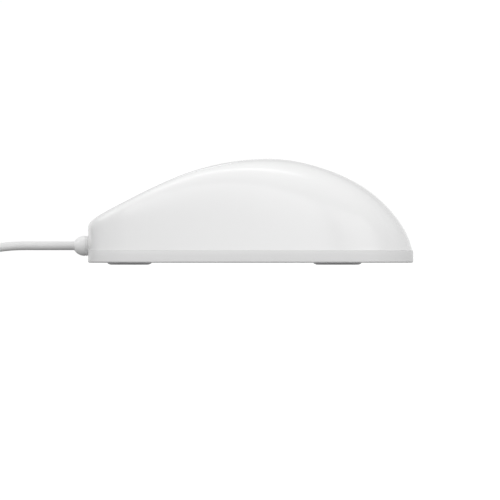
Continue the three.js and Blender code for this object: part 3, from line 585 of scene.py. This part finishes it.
def plan_point(angle, grow=0.0):
    front = np.sin(angle) >= 0
    cx, cy = squircle(angle, np.where(front, FRONT_POWER, REAR_POWER))
    y = (np.where(front, FRONT_REACH, REAR_REACH) + grow) * cy
    waist = 1 - WAIST_DEPTH * np.exp(-(((y - WAIST_Y) / WAIST_SPREAD) ** 2))
    return (HALF_WIDTH + grow) * cx * waist, y


def crown_height(y):
    """Bezier height curve through evenly spaced control heights."""
    t = (y + HALF_LENGTH) / (2 * HALF_LENGTH)
    heights = CROWN_HEIGHTS
    while len(heights) > 1:
        heights = [a * (1 - t) + b * t for a, b in zip(heights, heights[1:])]
    return heights[0]


def valley(x, y):
    rise = smooth((y - VALLEY_START) / (VALLEY_FULL - VALLEY_START))
    fade = smooth((y - VALLEY_FADE_START) / (HALF_LENGTH - VALLEY_FADE_START))
    depth = VALLEY_DEPTH * rise * (1 - VALLEY_FADE_SHARE * fade)
    return depth * np.exp(-((x / VALLEY_SPREAD) ** 2))


def shares(tilt, rim_y):
    """How far up and out a point of that tilt lies, as shares of the crown height and the rim."""
    along = rim_y / HALF_LENGTH
    up, out = squircle(tilt, SHOULDER_POWER * np.exp(SHOULDER_RISE * along))
    lean = LEAN_MID + LEAN_SLOPE * along + LEAN_CURVE * along * along
    return up, out * (1 - lean * up)


def form_point(angle, tilt, grow=0.0):
    """Tilt runs from the crown (0) to the rim (90 degrees)."""
    px, py = plan_point(angle, grow)
    up, out = shares(tilt, py)
    x, y = px * out, py * out
    z = BAND_TOP + up * (crown_height(y) + grow - valley(x, y))
    return np.stack([x, y, z], -1)


ROUND = np.linspace(-math.pi, math.pi, 7201)
SEARCH_STEPS = 36


def locate(xy, grow=0.0):
    """Angle and tilt of the points of the form over plan points xy."""
    px, py = plan_point(ROUND, grow)
    heading = np.unwrap(np.arctan2(py, px))
    x, y = xy[..., 0], xy[..., 1]
    angle = np.interp(np.arctan2(y, x), heading, ROUND)
    px, py = plan_point(angle, grow)
    wanted = np.hypot(x, y) / np.hypot(px, py)
    low, high = np.zeros_like(x), np.full_like(x, math.pi / 2)
    for _ in range(SEARCH_STEPS):
        middle = (low + high) / 2
        short = shares(middle, py)[1] < wanted
        low, high = np.where(short, middle, low), np.where(short, high, middle)
    return angle, (low + high) / 2


def lifted(xy, grow=0.0, drop=0.0):
    """Plan points raised onto the form, then lowered by drop."""
    angle, tilt = locate(xy, grow)
    z = form_point(angle, tilt, grow)[..., 2] - drop
    return np.concatenate([xy, z[..., None]], -1)


def disc(angle, tilt):
    return np.stack([np.cos(angle), np.sin(angle)], -1) * (tilt / (math.pi / 2))[..., None]


def from_disc(spot, grow):
    angle = np.arctan2(spot[..., 1], spot[..., 0])
    return form_point(angle, np.hypot(spot[..., 0], spot[..., 1]) * math.pi / 2, grow)


def panel_loop(grow, count=2400):
    cx, cy = squircle(np.linspace(0, 2 * math.pi, count, endpoint=False), PANEL_POWER)
    return np.column_stack([
        (PANEL_HALF_WIDTH + grow) * cx, PANEL_Y + (PANEL_HALF_LENGTH + grow) * cy,
    ])


# ---------------------------------------------------------------- top shell
def shell_columns():
    """Panel-edge points and rim angles of the columns, which fan out from the middle of the panel."""
    edge = panel_loop(EDGE_ROLL)
    hub = disc(*locate(np.array([0.0, PANEL_Y])))
    spots = disc(*locate(edge)) - hub
    ray = spots / np.linalg.norm(spots, axis=1, keepdims=True)
    along = ray @ hub
    reach = -along + np.sqrt(along**2 + 1 - hub @ hub)
    rim_spot = hub + ray * reach[:, None]
    rim = np.column_stack(plan_point(np.arctan2(rim_spot[:, 1], rim_spot[:, 0])))
    measure = np.zeros(len(edge) + 1)
    for line in (edge, rim):
        step = np.linalg.norm(np.roll(line, -1, 0) - line, axis=1)
        measure[1:] += np.cumsum(step) / step.sum()
    wanted = np.linspace(0, measure[-1], SHELL_COLUMNS + 1)[:-1]
    place = np.interp(wanted, measure, np.arange(len(edge) + 1))
    first = place.astype(int) % len(edge)
    share = (place - place.astype(int))[:, None]

    def pick(line):
        return line[first] * (1 - share) + np.roll(line, -1, 0)[first] * share

    rim_angle = np.unwrap(np.arctan2(rim_spot[:, 1], rim_spot[:, 0]))
    turn = np.append(rim_angle, rim_angle[0] + 2 * math.pi)
    return pick(edge), np.interp(place, np.arange(len(turn)), turn)


def top_shell(look):
    """Skin from the keys' opening over the crown to the rim, back up inside, and the screw posts."""
    edge, rim_angle = shell_columns()
    surface = Surface()
    start = disc(*locate(edge))
    rim_y = plan_point(rim_angle)[1]
    end_tilt = math.pi / 2 - RIM_ROLL / crown_height(rim_y)
    end = disc(rim_angle, end_tilt)
    length = np.linalg.norm(form_point(rim_angle, end_tilt) - from_disc(start, 0.0), axis=1)
    first = EDGE_FLAT / length
    rows = [from_disc(start, 0.0)]
    for t in np.linspace(0, 1, SHELL_ROWS):
        share = (first + (1 - first) * t)[:, None]
        rows.append(from_disc(start * (1 - share) + end * share, 0.0))
    opening = []
    for turn in ROLL_ANGLES[:0:-1]:
        loop = grown(edge, -EDGE_ROLL * math.sin(turn))
        opening.append(lifted(loop, 0.0, EDGE_ROLL * (1 - math.cos(turn))))
    wall = grown(edge, -EDGE_ROLL)
    inner_edge = lifted(wall, -WALL)
    rim = []
    for turn in ROLL_ANGLES[1:]:
        plan = np.column_stack(plan_point(rim_angle, -RIM_ROLL * (1 - math.cos(turn))))
        rim.append(at_height(plan, BAND_TOP + RIM_ROLL * (1 - math.sin(turn))))
    inner_start = disc(*locate(wall, -WALL))
    inner_end = disc(rim_angle, np.full_like(rim_angle, math.pi / 2))
    inner = []
    for t in np.linspace(1, 0, SHELL_INNER_ROWS)[:-1, None]:
        inner.append(from_disc(inner_start * (1 - t) + inner_end * t, -WALL))
    index = surface.tube([inner_edge, *opening, *rows, *rim, *inner])
    surface.bridge(index[-1], index[0])
    for x, y in CASE_SCREWS:
        add_hollow_post(surface, x, y)
    return surface.piece("top_shell_visible", look, "case", "casing", ["top_shell"])


def stepped(x, y, steps, count=24):
    """Circles round a plan point, one for each (radius, height) step."""
    return [at_height(circle_loop(x, y, radius, count), z) for radius, z in steps]


def add_hollow_post(surface, x, y):
    """Screw post with a blind bore from its foot; its head ends inside the shell's wall."""
    rings = stepped(x, y, POST_STEPS)
    rings.append(lifted(circle_loop(x, y, POST_RADIUS, 24), -WALL + BURY))
    index = surface.tube(rings)
    surface.cap(index[0])
    surface.cap(index[-1])


# ---------------------------------------------------------------- keys
def key_loop(side):
    """Outline of one key, anticlockwise, with its half of the wheel's slot."""
    panel = panel_loop(-GAP)
    inner_x = KEY_SPLIT / 2
    right = panel[panel[:, 0] > inner_x + KEY_END]
    right = right[np.argsort(np.arctan2(right[:, 1] - PANEL_Y, right[:, 0]))]
    rear_y, front_y = right[0, 1], right[-1, 1]
    corners = [(inner_x, rear_y, KEY_CORNER)]
    corners += [(x, y, 0) for x, y in right]
    corners += [
        (inner_x, front_y, KEY_CORNER), (inner_x, SLOT_FRONT, KEY_CORNER),
        (SLOT_HALF_WIDTH, SLOT_FRONT, SLOT_CORNER), (SLOT_HALF_WIDTH, SLOT_REAR, SLOT_CORNER),
        (inner_x, SLOT_REAR, KEY_CORNER),
    ]
    line = filleted(corners)
    if side < 0:
        line = line[::-1] * (-1, 1)
    return line


def split_at(line, spots):
    """The closed line cut into runs at its points nearest to spots, in order."""
    cuts = [int(np.argmin(np.linalg.norm(line - spot, axis=1))) for spot in spots]
    line = np.roll(line, -cuts[0], 0)
    cuts = [(cut - cuts[0]) % len(line) for cut in cuts] + [len(line)]
    line = np.vstack([line, line[:1]])
    return [line[a:b + 1] for a, b in zip(cuts, cuts[1:])]


def coons(rear, high, front, low):
    """Coons patch of plan points between four runs; rear and front run along +X, the others along +Y."""
    u = np.linspace(0, 1, len(rear))[:, None, None]
    v = np.linspace(0, 1, len(high))[None, :, None]
    ruled = (1 - v) * rear[:, None] + v * front[:, None] + (1 - u) * low[None] + u * high[None]
    corners = (1 - u) * ((1 - v) * rear[0] + v * front[0]) + u * ((1 - v) * rear[-1] + v * front[-1])
    return ruled - corners


def loop_of(grid):
    """Indices of a grid's border as one closed loop."""
    return np.concatenate([grid[:-1, 0], grid[-1, :-1], grid[:0:-1, -1], grid[0, :0:-1]])


def key(side, look):
    """Key plate cut from the outer form with rolled edges, and what presses its switch."""
    xs = sorted([side * KEY_SPLIT / 2, side * PANEL_HALF_WIDTH])
    rear_y, front_y = PANEL_Y - PANEL_HALF_LENGTH, PANEL_Y + PANEL_HALF_LENGTH
    spots = np.array([(xs[0], rear_y), (xs[1], rear_y), (xs[1], front_y), (xs[0], front_y)])
    runs = split_at(key_loop(side), spots)
    counts = (KEY_ACROSS, KEY_ALONG, KEY_ACROSS, KEY_ALONG)
    border = np.vstack([resampled(run, count)[:-1] for run, count in zip(runs, counts)])

    def patch(grow):
        loop = grown(border, grow)
        a, b = KEY_ACROSS - 1, KEY_ALONG - 1
        ends = np.vstack([loop, loop[:1]])
        return coons(ends[:a + 1], ends[a:a + b + 1], ends[a + b:2 * a + b + 1][::-1], ends[2 * a + b:][::-1])

    surface = Surface()
    top = surface.add(lifted(patch(-EDGE_ROLL - EDGE_FLAT)))
    surface.grid(top)
    rings = []
    for turn in ROLL_ANGLES:
        loop = grown(border, EDGE_ROLL * (math.sin(turn) - 1))
        rings.append(lifted(loop, 0.0, EDGE_ROLL * (1 - math.cos(turn))))
    under_patch = lifted(patch(0.0), -KEY_WALL)
    under = surface.add(under_patch)
    surface.grid(under)
    index = surface.tube(rings)
    surface.bridge(loop_of(top), index[0])
    surface.bridge(index[-1], loop_of(under))
    add_key_press(surface, side)
    name = "right_key" if side > 0 else "left_key"
    return surface.piece(f"{name}_visible", look, name, "casing", [name])


def add_key_press(surface, side):
    """Stem that presses the switch, and the rib that stiffens it, under a key."""
    x = side * KEY_SWITCH_X
    stem_rear, stem_front = KEY_PRESS_Y - KEY_STEM_HALF, KEY_PRESS_Y + KEY_STEM_HALF
    blocks = [(KEY_STEM_HALF, stem_rear, stem_front, KEY_STEM_FOOT)]
    blocks.append((KEY_RIB_HALF, KEY_RIB_REAR, stem_rear - 0.1, None))
    for half, rear_y, front_y, foot in blocks:
        stations = np.linspace(rear_y, front_y, 12)
        plan = np.array([[(edge, y) for y in stations] for edge in (x - half, x + half)])
        roof = lifted(plan, -KEY_WALL + BURY)
        floor = roof.copy()
        floor[..., 2] = foot if foot else lifted(plan, -KEY_WALL - KEY_RIB_DEPTH)[..., 2]
        rings = [np.array([roof[0, i], roof[1, i], floor[1, i], floor[0, i]]) for i in range(len(stations))]
        index = surface.tube(rings)
        surface.cap(index[0])
        surface.cap(index[-1])


# ---------------------------------------------------------------- base
def rim_angles(count):
    """Angles of the base's columns, closer together where the outline turns."""
    angle = np.linspace(0, 2 * math.pi, 3601)
    line = np.column_stack(plan_point(angle))
    steps = np.diff(line, axis=0)
    turns = np.abs(np.diff(np.unwrap(np.arctan2(steps[:, 1], steps[:, 0])), prepend=math.pi / 2))
    measure = np.concatenate([[0], np.cumsum(np.linalg.norm(steps, axis=1) + RIM_TURN * turns)])
    return np.interp(np.linspace(0, measure[-1], count + 1)[:-1], measure, angle)


def recess(surface, loop, top, beyond=()):
    """Rounded mouth in the underside, its wall up to top and any rings beyond; returns both end rings."""
    rings = [at_height(grown(loop, MOUTH_MARGIN), PAD_HEIGHT)]
    for turn in ROLL_ANGLES:
        spread = MOUTH_ROLL * (1 - math.sin(turn))
        rings.append(at_height(grown(loop, spread), PAD_HEIGHT + MOUTH_ROLL * (1 - math.cos(turn))))
    index = surface.tube([*rings, at_height(loop, top), *beyond])
    return index[0], index[-1]


def rounded_box_loop(y, half_width, half_length, radius):
    corners = [(-half_width, y - half_length), (half_width, y - half_length)]
    corners += [(half_width, y + half_length), (-half_width, y + half_length)]
    return filleted([(a, b, radius) for a, b in corners])


def underside(surface):
    """Recesses and holes from below; returns their rims in the underside and in the floor."""
    mouths, floor_holes = [], []
    recesses = [(spot, PAD_RECESS_TOP) for spot in PADS.values()] + [(LABEL, LABEL_RECESS_TOP)]
    for (y, half_length, half_width), top in recesses:
        mouth, ceiling = recess(surface, squircle_loop(y, half_length + GAP, half_width + GAP), top)
        mouths.append(mouth)
        surface.cap(ceiling)
    holes = [
        (circle_loop(x, y, WELL_RADIUS), WELL_FLOOR, stepped(x, y, WELL_STEPS, 40)) for x, y in CASE_SCREWS
    ]
    holes.append((rounded_box_loop(SENSOR_Y, *SENSOR_HALF, SENSOR_CORNER), FLOOR_TOP, []))
    for loop, top, beyond in holes:
        mouth, floor_hole = recess(surface, loop, top, beyond)
        mouths.append(mouth)
        floor_holes.append(floor_hole)
    return mouths, floor_holes


def supports(surface):
    """Board screw posts, board rests and the bush's guides on the floor; returns their feet."""
    columns = [stepped(x, y, BOARD_SCREW_STEPS) for x, y in BOARD_SCREWS]
    columns += [stepped(x, y, BOARD_REST_STEPS) for x, y in BOARD_RESTS]
    left, right = BUSH_GUIDE_SIDES
    for rear in BUSH_GUIDE_REARS:
        front = rear + BUSH_GUIDE_LENGTH
        plan = np.array([(left, rear), (right, rear), (right, front), (left, front)])
        columns.append([at_height(plan, z) for z in (FLOOR_TOP, BUSH_GUIDE_TOP)])
    feet = []
    for rings in columns:
        index = surface.tube(rings)
        feet.append(index[0])
        surface.cap(index[-1])
    return feet


def base(look):
    """Band, underside and floor as one skin, with the recesses, wells and supports joined to it."""
    surface = Surface()
    angle = rim_angles(BASE_COLUMNS)
    band = surface.tube([
        at_height(np.column_stack(plan_point(angle, grow)), z) for grow, z in BAND_PROFILE
    ])
    mouths, floor_holes = underside(surface)
    surface.fill(band[0], mouths)
    surface.fill(band[-1], floor_holes + supports(surface))
    return surface.piece("base_visible", look, "case", "base", ["base_plate"])


def plate(loop, profile):
    """Flat plate with a profiled edge, given as (growth of the loop, height) from below."""
    surface = Surface()
    index = surface.tube([at_height(grown(loop, grow), z) for grow, z in profile])
    surface.cap(index[0])
    surface.cap(index[-1])
    return surface


def glide_pad(name, look):
    """Flat rest face, a soft bevel round it and a straight edge in its recess."""
    surface = plate(squircle_loop(*PADS[name]), PAD_PROFILE)
    return surface.piece(f"{name}_visible", look, "case", "glide_pad", [name])


def label_plate(look):
    surface = plate(squircle_loop(*LABEL), LABEL_PROFILE)
    return surface.piece("label_plate_visible", look, "case", "base", ["label_plate"])


# ---------------------------------------------------------------- wheel
def lathe_points(profile, axis, centre, sides):
    """Rings (station, side) of a turned piece; profile is (radius, station) pairs."""
    angle = np.linspace(0, 2 * math.pi, sides, endpoint=False)
    radius, station = np.array(profile, float).T
    c, s = np.cos(angle), np.sin(angle)
    a, b = radius[:, None] * c, radius[:, None] * s
    along = np.broadcast_to(station[:, None], a.shape)
    order = {"x": (along, a, b), "y": (a, along, b), "z": (a, b, along)}[axis]
    return np.stack(order, -1) + np.array(centre)


def tyre(look):
    """Rubber ring with rounded ribs across it."""
    inner = WHEEL_RADIUS - TYRE_DEPTH
    stations = np.linspace(-1, 1, TYRE_STATIONS)
    crown = WHEEL_RADIUS - TYRE_SHOULDER * np.abs(stations) ** 6 - TYRE_CROWN * stations**2
    crown[[0, -1]] -= TYRE_EDGE
    outside = zip(crown, stations * WHEEL_HALF)
    profile = [(inner, -WHEEL_HALF), *outside, (inner, WHEEL_HALF)]
    centre = np.array((0, WHEEL_Y, WHEEL_Z))
    sides = TYRE_RIBS * SIDES_PER_RIB
    rings = lathe_points(profile, "x", centre, sides)
    wave = 0.5 - 0.5 * np.cos(np.linspace(0, 2 * math.pi * TYRE_RIBS, sides, endpoint=False))
    groove = RIB_DEPTH * wave**3
    share = np.clip((1 - np.abs([along for _, along in profile]) / WHEEL_HALF) * RIB_FADE, 0, 1)
    spokes = rings - centre
    spokes[..., 0] = 0
    length = np.linalg.norm(spokes, axis=-1, keepdims=True)
    rings -= spokes / length * (share[:, None] * groove[None])[..., None]
    surface = Surface()
    index = surface.tube(rings)
    surface.bridge(index[-1], index[0])
    return surface.piece("scroll_tyre_visible", look, "wheel", "tyre_rubber", ["scroll_tyre"])


# ---------------------------------------------------------------- cable
def coil_route():
    """Flat spirals in and out, one layer on the next, clockwise from above."""
    radii, heights = [COIL_OUTER], [COIL_BASE + CABLE_RADIUS]
    for layer in range(COIL_LAYERS):
        start, end = (COIL_OUTER, COIL_INNER) if layer % 2 == 0 else (COIL_INNER, COIL_OUTER)
        shares = np.linspace(0, 1, LAYER_STEPS + 1)[1:]
        radii.extend(start + (end - start) * shares)
        heights.extend([heights[-1]] * LAYER_STEPS)
        if layer < COIL_LAYERS - 1:
            radii.extend([end] * CLIMB_STEPS)
            climb = np.linspace(0, 1, CLIMB_STEPS + 1)[1:]
            heights.extend(heights[-1] + LAYER_PITCH * smooth(climb))
    angle = COIL_START - COIL_STEP * np.arange(len(radii))
    x = COIL_CENTRE[0] + np.array(radii) * np.cos(angle)
    y = COIL_CENTRE[1] + np.array(radii) * np.sin(angle)
    return list(zip(x, y, heights))


def cable(look):
    """One smooth cable from inside the relief, down to the desk, round the coil and into the plug."""
    route = [*LEAD_ROUTE, *coil_route(), *TAIL_ROUTE]
    curve = bpy.data.curves.new("cable", "CURVE")
    curve.dimensions = "3D"
    curve.bevel_depth = CABLE_RADIUS * MM
    curve.bevel_resolution = 6
    curve.resolution_u = 6
    curve.use_fill_caps = True
    spline = curve.splines.new("BEZIER")
    spline.bezier_points.add(len(route) - 1)
    for point, place in zip(spline.bezier_points, route):
        point.co = Vector(place) * MM
        point.handle_left_type = "AUTO"
        point.handle_right_type = "AUTO"
    curve.materials.append(look)
    obj = bpy.data.objects.new("cable", curve)
    bpy.context.scene.collection.objects.link(obj)
    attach(obj, "case")
    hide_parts("cable_lead", "cable_coil", "cable_tail")
    return obj


def strain_relief(look):
    """Grooved collar against the case, a dome that closes on the cable, and a flange inside."""
    r = RELIEF_RADIUS
    dome = [
        (r * math.cos(a), DOME_START + (RELIEF_TIP - DOME_START) * math.sin(a) / math.sin(DOME_TURN))
        for a in np.linspace(0, DOME_TURN, 24)
    ]
    profile = [
        (CABLE_RADIUS + 0.05, FLANGE_REAR), (r - FLANGE_EDGE, FLANGE_REAR), (r, FLANGE_REAR + FLANGE_EDGE),
        (r, FLANGE_FRONT - FLANGE_EDGE), (r - FLANGE_EDGE, FLANGE_FRONT), (RELIEF_NECK, FLANGE_FRONT),
        (RELIEF_NECK, COLLAR_START), (r - COLLAR_EDGE, COLLAR_START), (r, COLLAR_START + COLLAR_EDGE),
    ]
    for at in RELIEF_GROOVES:
        profile += [(r - depth, at - away) for away, depth in GROOVE_HALF]
        profile.append((r - GROOVE_DEPTH, at))
        profile += [(r - depth, at + away) for away, depth in reversed(GROOVE_HALF)]
    bore = CABLE_RADIUS + 0.01
    profile += [*dome, (bore + 0.12, RELIEF_TIP + 0.09), (bore + 0.02, RELIEF_TIP + 0.06)]
    profile.append((bore, RELIEF_TIP - 0.2))
    surface = Surface()
    index = surface.tube(lathe_points(profile, "y", (0, 0, CABLE_EXIT_Z), 72))
    surface.bridge(index[-1], index[0])
    return surface.piece("strain_relief_visible", look, "case", "cable", ["strain_relief"])


def tie_path():
    """(across, up) middle line of the strap, round the corner turns and over its own end."""
    low, high = COIL_BASE + CABLE_RADIUS, COIL_BASE + CABLE_RADIUS + (COIL_LAYERS - 1) * LAYER_PITCH
    reach = CABLE_RADIUS + TIE_CLEAR + TIE_THICKNESS / 2
    corners = [(COIL_OUTER, low, -90), (COIL_OUTER, high, 0), (COIL_INNER, high, 90), (COIL_INNER, low, 180)]
    line = [((COIL_INNER + COIL_OUTER) / 2, low - reach)]
    for x, z, start in corners:
        for turn in np.radians(np.linspace(start, start + 90, TIE_CORNER_STEPS)):
            line.append((x + reach * math.cos(turn), z + reach * math.sin(turn)))
    line = np.array(line)
    return np.vstack([line, line[:TIE_CORNER_STEPS + 2]])


def cable_tie(look):
    """Woven strap with rounded edges, whose end lies on its own start."""
    path = resampled(tie_path(), TIE_STATIONS, turn_mm=0.8)
    along = np.gradient(path, axis=0)
    out = np.column_stack([along[:, 1], -along[:, 0]])
    out /= np.linalg.norm(out, axis=1, keepdims=True)
    run = np.concatenate([[0], np.cumsum(np.linalg.norm(np.diff(path, axis=0), axis=1))])
    overlap = run[-1] - TIE_OVERLAP
    lift = TIE_LIFT * smooth((run - overlap) / TIE_RAMP)
    keep = run > TIE_START
    path = (path + out * lift[:, None])[keep]
    out = out[keep]
    a, b = TIE_HALF_WIDTH, TIE_THICKNESS / 2
    section = filleted([(x, z, TIE_EDGE) for x, z in ((-a, -b), (a, -b), (a, b), (-a, b))], 4)
    rings = []
    c, s = math.cos(TIE_ANGLE), math.sin(TIE_ANGLE)
    for (across, up), (ox, oz) in zip(path, out):
        x = across + section[:, 1] * ox
        y = section[:, 0]
        z = up + section[:, 1] * oz
        rings.append(np.column_stack([COIL_CENTRE[0] + c * x - s * y, COIL_CENTRE[1] + s * x + c * y, z]))
    surface = Surface()
    index = surface.tube(rings)
    surface.cap(index[0])
    surface.cap(index[-1])
    return surface.piece("cable_tie_visible", look, "case", "cable", ["cable_tie"])


def plug_mould(look):
    """Ribbed sleeve that opens into the flat grip."""
    y = np.concatenate([
        np.arange(0, 13, 0.12), np.arange(13, 31, 1.0), np.linspace(31, PLUG_LENGTH, 14),
    ])
    table = np.array(PLUG_STATIONS)
    wide, tall, power = (np.interp(y, table[:, 0], table[:, k]) for k in (1, 2, 3))
    for _ in range(10):
        for size in (wide, tall):
            size[1:-1] = (size[:-2] + 2 * size[1:-1] + size[2:]) / 4
    ramps = [(smooth((y - a) / PLUG_RIB_RAMP), smooth((b - y) / PLUG_RIB_RAMP)) for a, b in PLUG_RIBS]
    ribs = PLUG_RIB_HEIGHT * sum(up * down for up, down in ramps)
    into_end = np.clip((y - PLUG_LENGTH + PLUG_END_ROLL) / PLUG_END_ROLL, 0, 1)
    round_end = PLUG_END_ROLL * (1 - np.sqrt(1 - into_end**2))
    wide = wide + ribs - round_end
    tall = tall + ribs - round_end
    rings = []
    for station, a, b, p in zip(y, wide, tall, power):
        cx, cz = squircle(np.linspace(0, 2 * math.pi, PLUG_SIDES, endpoint=False), p)
        rings.append(np.column_stack([a * cx, np.full(PLUG_SIDES, station), b * cz]) + PLUG)
    surface = Surface()
    index = surface.tube(rings)
    surface.cap(index[0])
    surface.cap(index[-1])
    return surface.piece("plug_mould_visible", look, "case", "cable", ["plug_mould"])


# ---------------------------------------------------------------- studio
def add_stage():
    """Pale floor that reads as seamless white, with only a trace of contact shade."""
    a = FLOOR_HALF
    mesh = bpy.data.meshes.new("floor")
    corners = [(-a, -a, 0), (a, -a, 0), (a, a, 0), (-a, a, 0)]
    mesh.from_pydata(corners, [], [(0, 1, 2, 3)])
    look = bpy.data.materials.new("floor")
    look.use_nodes = True
    tree = look.node_tree
    shader = tree.nodes["Principled BSDF"]
    shader.inputs["Base Color"].default_value = (FLOOR_GREY, FLOOR_GREY, FLOOR_GREY, 1)
    shader.inputs["Roughness"].default_value = 1
    shader.inputs["Specular IOR Level"].default_value = 0
    shader.inputs["Emission Color"].default_value = (1, 1, 1, 1)
    shader.inputs["Emission Strength"].default_value = FLOOR_GLOW
    mesh.materials.append(look)
    floor = bpy.data.objects.new("floor", mesh)
    bpy.context.scene.collection.objects.link(floor)
    floor.location.z = -FLOOR_DROP
    floor.visible_diffuse = False
    floor.visible_glossy = False


def add_softbox(name, place, size, power):
    light = bpy.data.lights.new(name, "AREA")
    light.shape = "RECTANGLE"
    light.size, light.size_y = size
    light.energy = power
    obj = bpy.data.objects.new(name, light)
    bpy.context.scene.collection.objects.link(obj)
    obj.location = place
    obj.rotation_euler = (Vector(LIGHT_TARGET) - Vector(place)).to_track_quat("-Z", "Y").to_euler()


def add_world():
    """Soft studio surroundings: white behind the object, dimmer towards the floor for its shading."""
    world = bpy.data.worlds.new("studio")
    bpy.context.scene.world = world
    world.use_nodes = True
    tree = world.node_tree
    nodes, links = tree.nodes, tree.links
    nodes.clear()
    place = nodes.new("ShaderNodeTexCoord")
    split = nodes.new("ShaderNodeSeparateXYZ")
    ramp = nodes.new("ShaderNodeValToRGB")
    height = nodes.new("ShaderNodeMapRange")
    height.inputs["From Min"].default_value = -1
    links.new(place.outputs["Generated"], split.inputs["Vector"])
    links.new(split.outputs["Z"], height.inputs["Value"])
    links.new(height.outputs["Result"], ramp.inputs["Fac"])
    elements = ramp.color_ramp.elements
    while len(elements) < len(WORLD_STOPS):
        elements.new(0.5)
    for element, (at, value) in zip(elements, WORLD_STOPS):
        element.position = at
        element.color = (value, value, value, 1)
    lit = nodes.new("ShaderNodeBackground")
    links.new(ramp.outputs["Color"], lit.inputs["Color"])
    white = nodes.new("ShaderNodeBackground")
    white.inputs["Color"].default_value = (1, 1, 1, 1)
    white.inputs["Strength"].default_value = BACKDROP
    ray = nodes.new("ShaderNodeLightPath")
    mix = nodes.new("ShaderNodeMixShader")
    out = nodes.new("ShaderNodeOutputWorld")
    links.new(ray.outputs["Is Camera Ray"], mix.inputs["Fac"])
    links.new(lit.outputs["Background"], mix.inputs[1])
    links.new(white.outputs["Background"], mix.inputs[2])
    links.new(mix.outputs["Shader"], out.inputs["Surface"])


# ---------------------------------------------------------------- assembly
def dress_cad_nodes(looks):
    """The record's material slot of each CAD node names its look."""
    slots = {row["node"]: row["material_slot"] for row in frame["record"]["subparts"]}
    for name, node in frame["nodes"].items():
        if slots[name] in looks:
            node.data.materials.clear()
            node.data.materials.append(looks[slots[name]])


bpy.context.scene.view_settings.view_transform = "Standard"
add_camera()
looks = build_looks()
dress_cad_nodes(looks)
cord = cable(looks["cable"])
tie = cable_tie(looks["strap"])
relief = strain_relief(looks["relief"])
mould = plug_mould(looks["cable"])
bored(top_shell(looks["casing"]))
for side in (-1, 1):
    key(side, looks["casing"])
bored(base(looks["base"]))
for pad in PADS:
    glide_pad(pad, looks["glide_pad"])
label_plate(looks["inner_plastic"])
tyre(looks["tyre_rubber"])
add_stage()
for name, (place, size, power) in SOFTBOXES.items():
    add_softbox(name, place, size, power)
add_world()
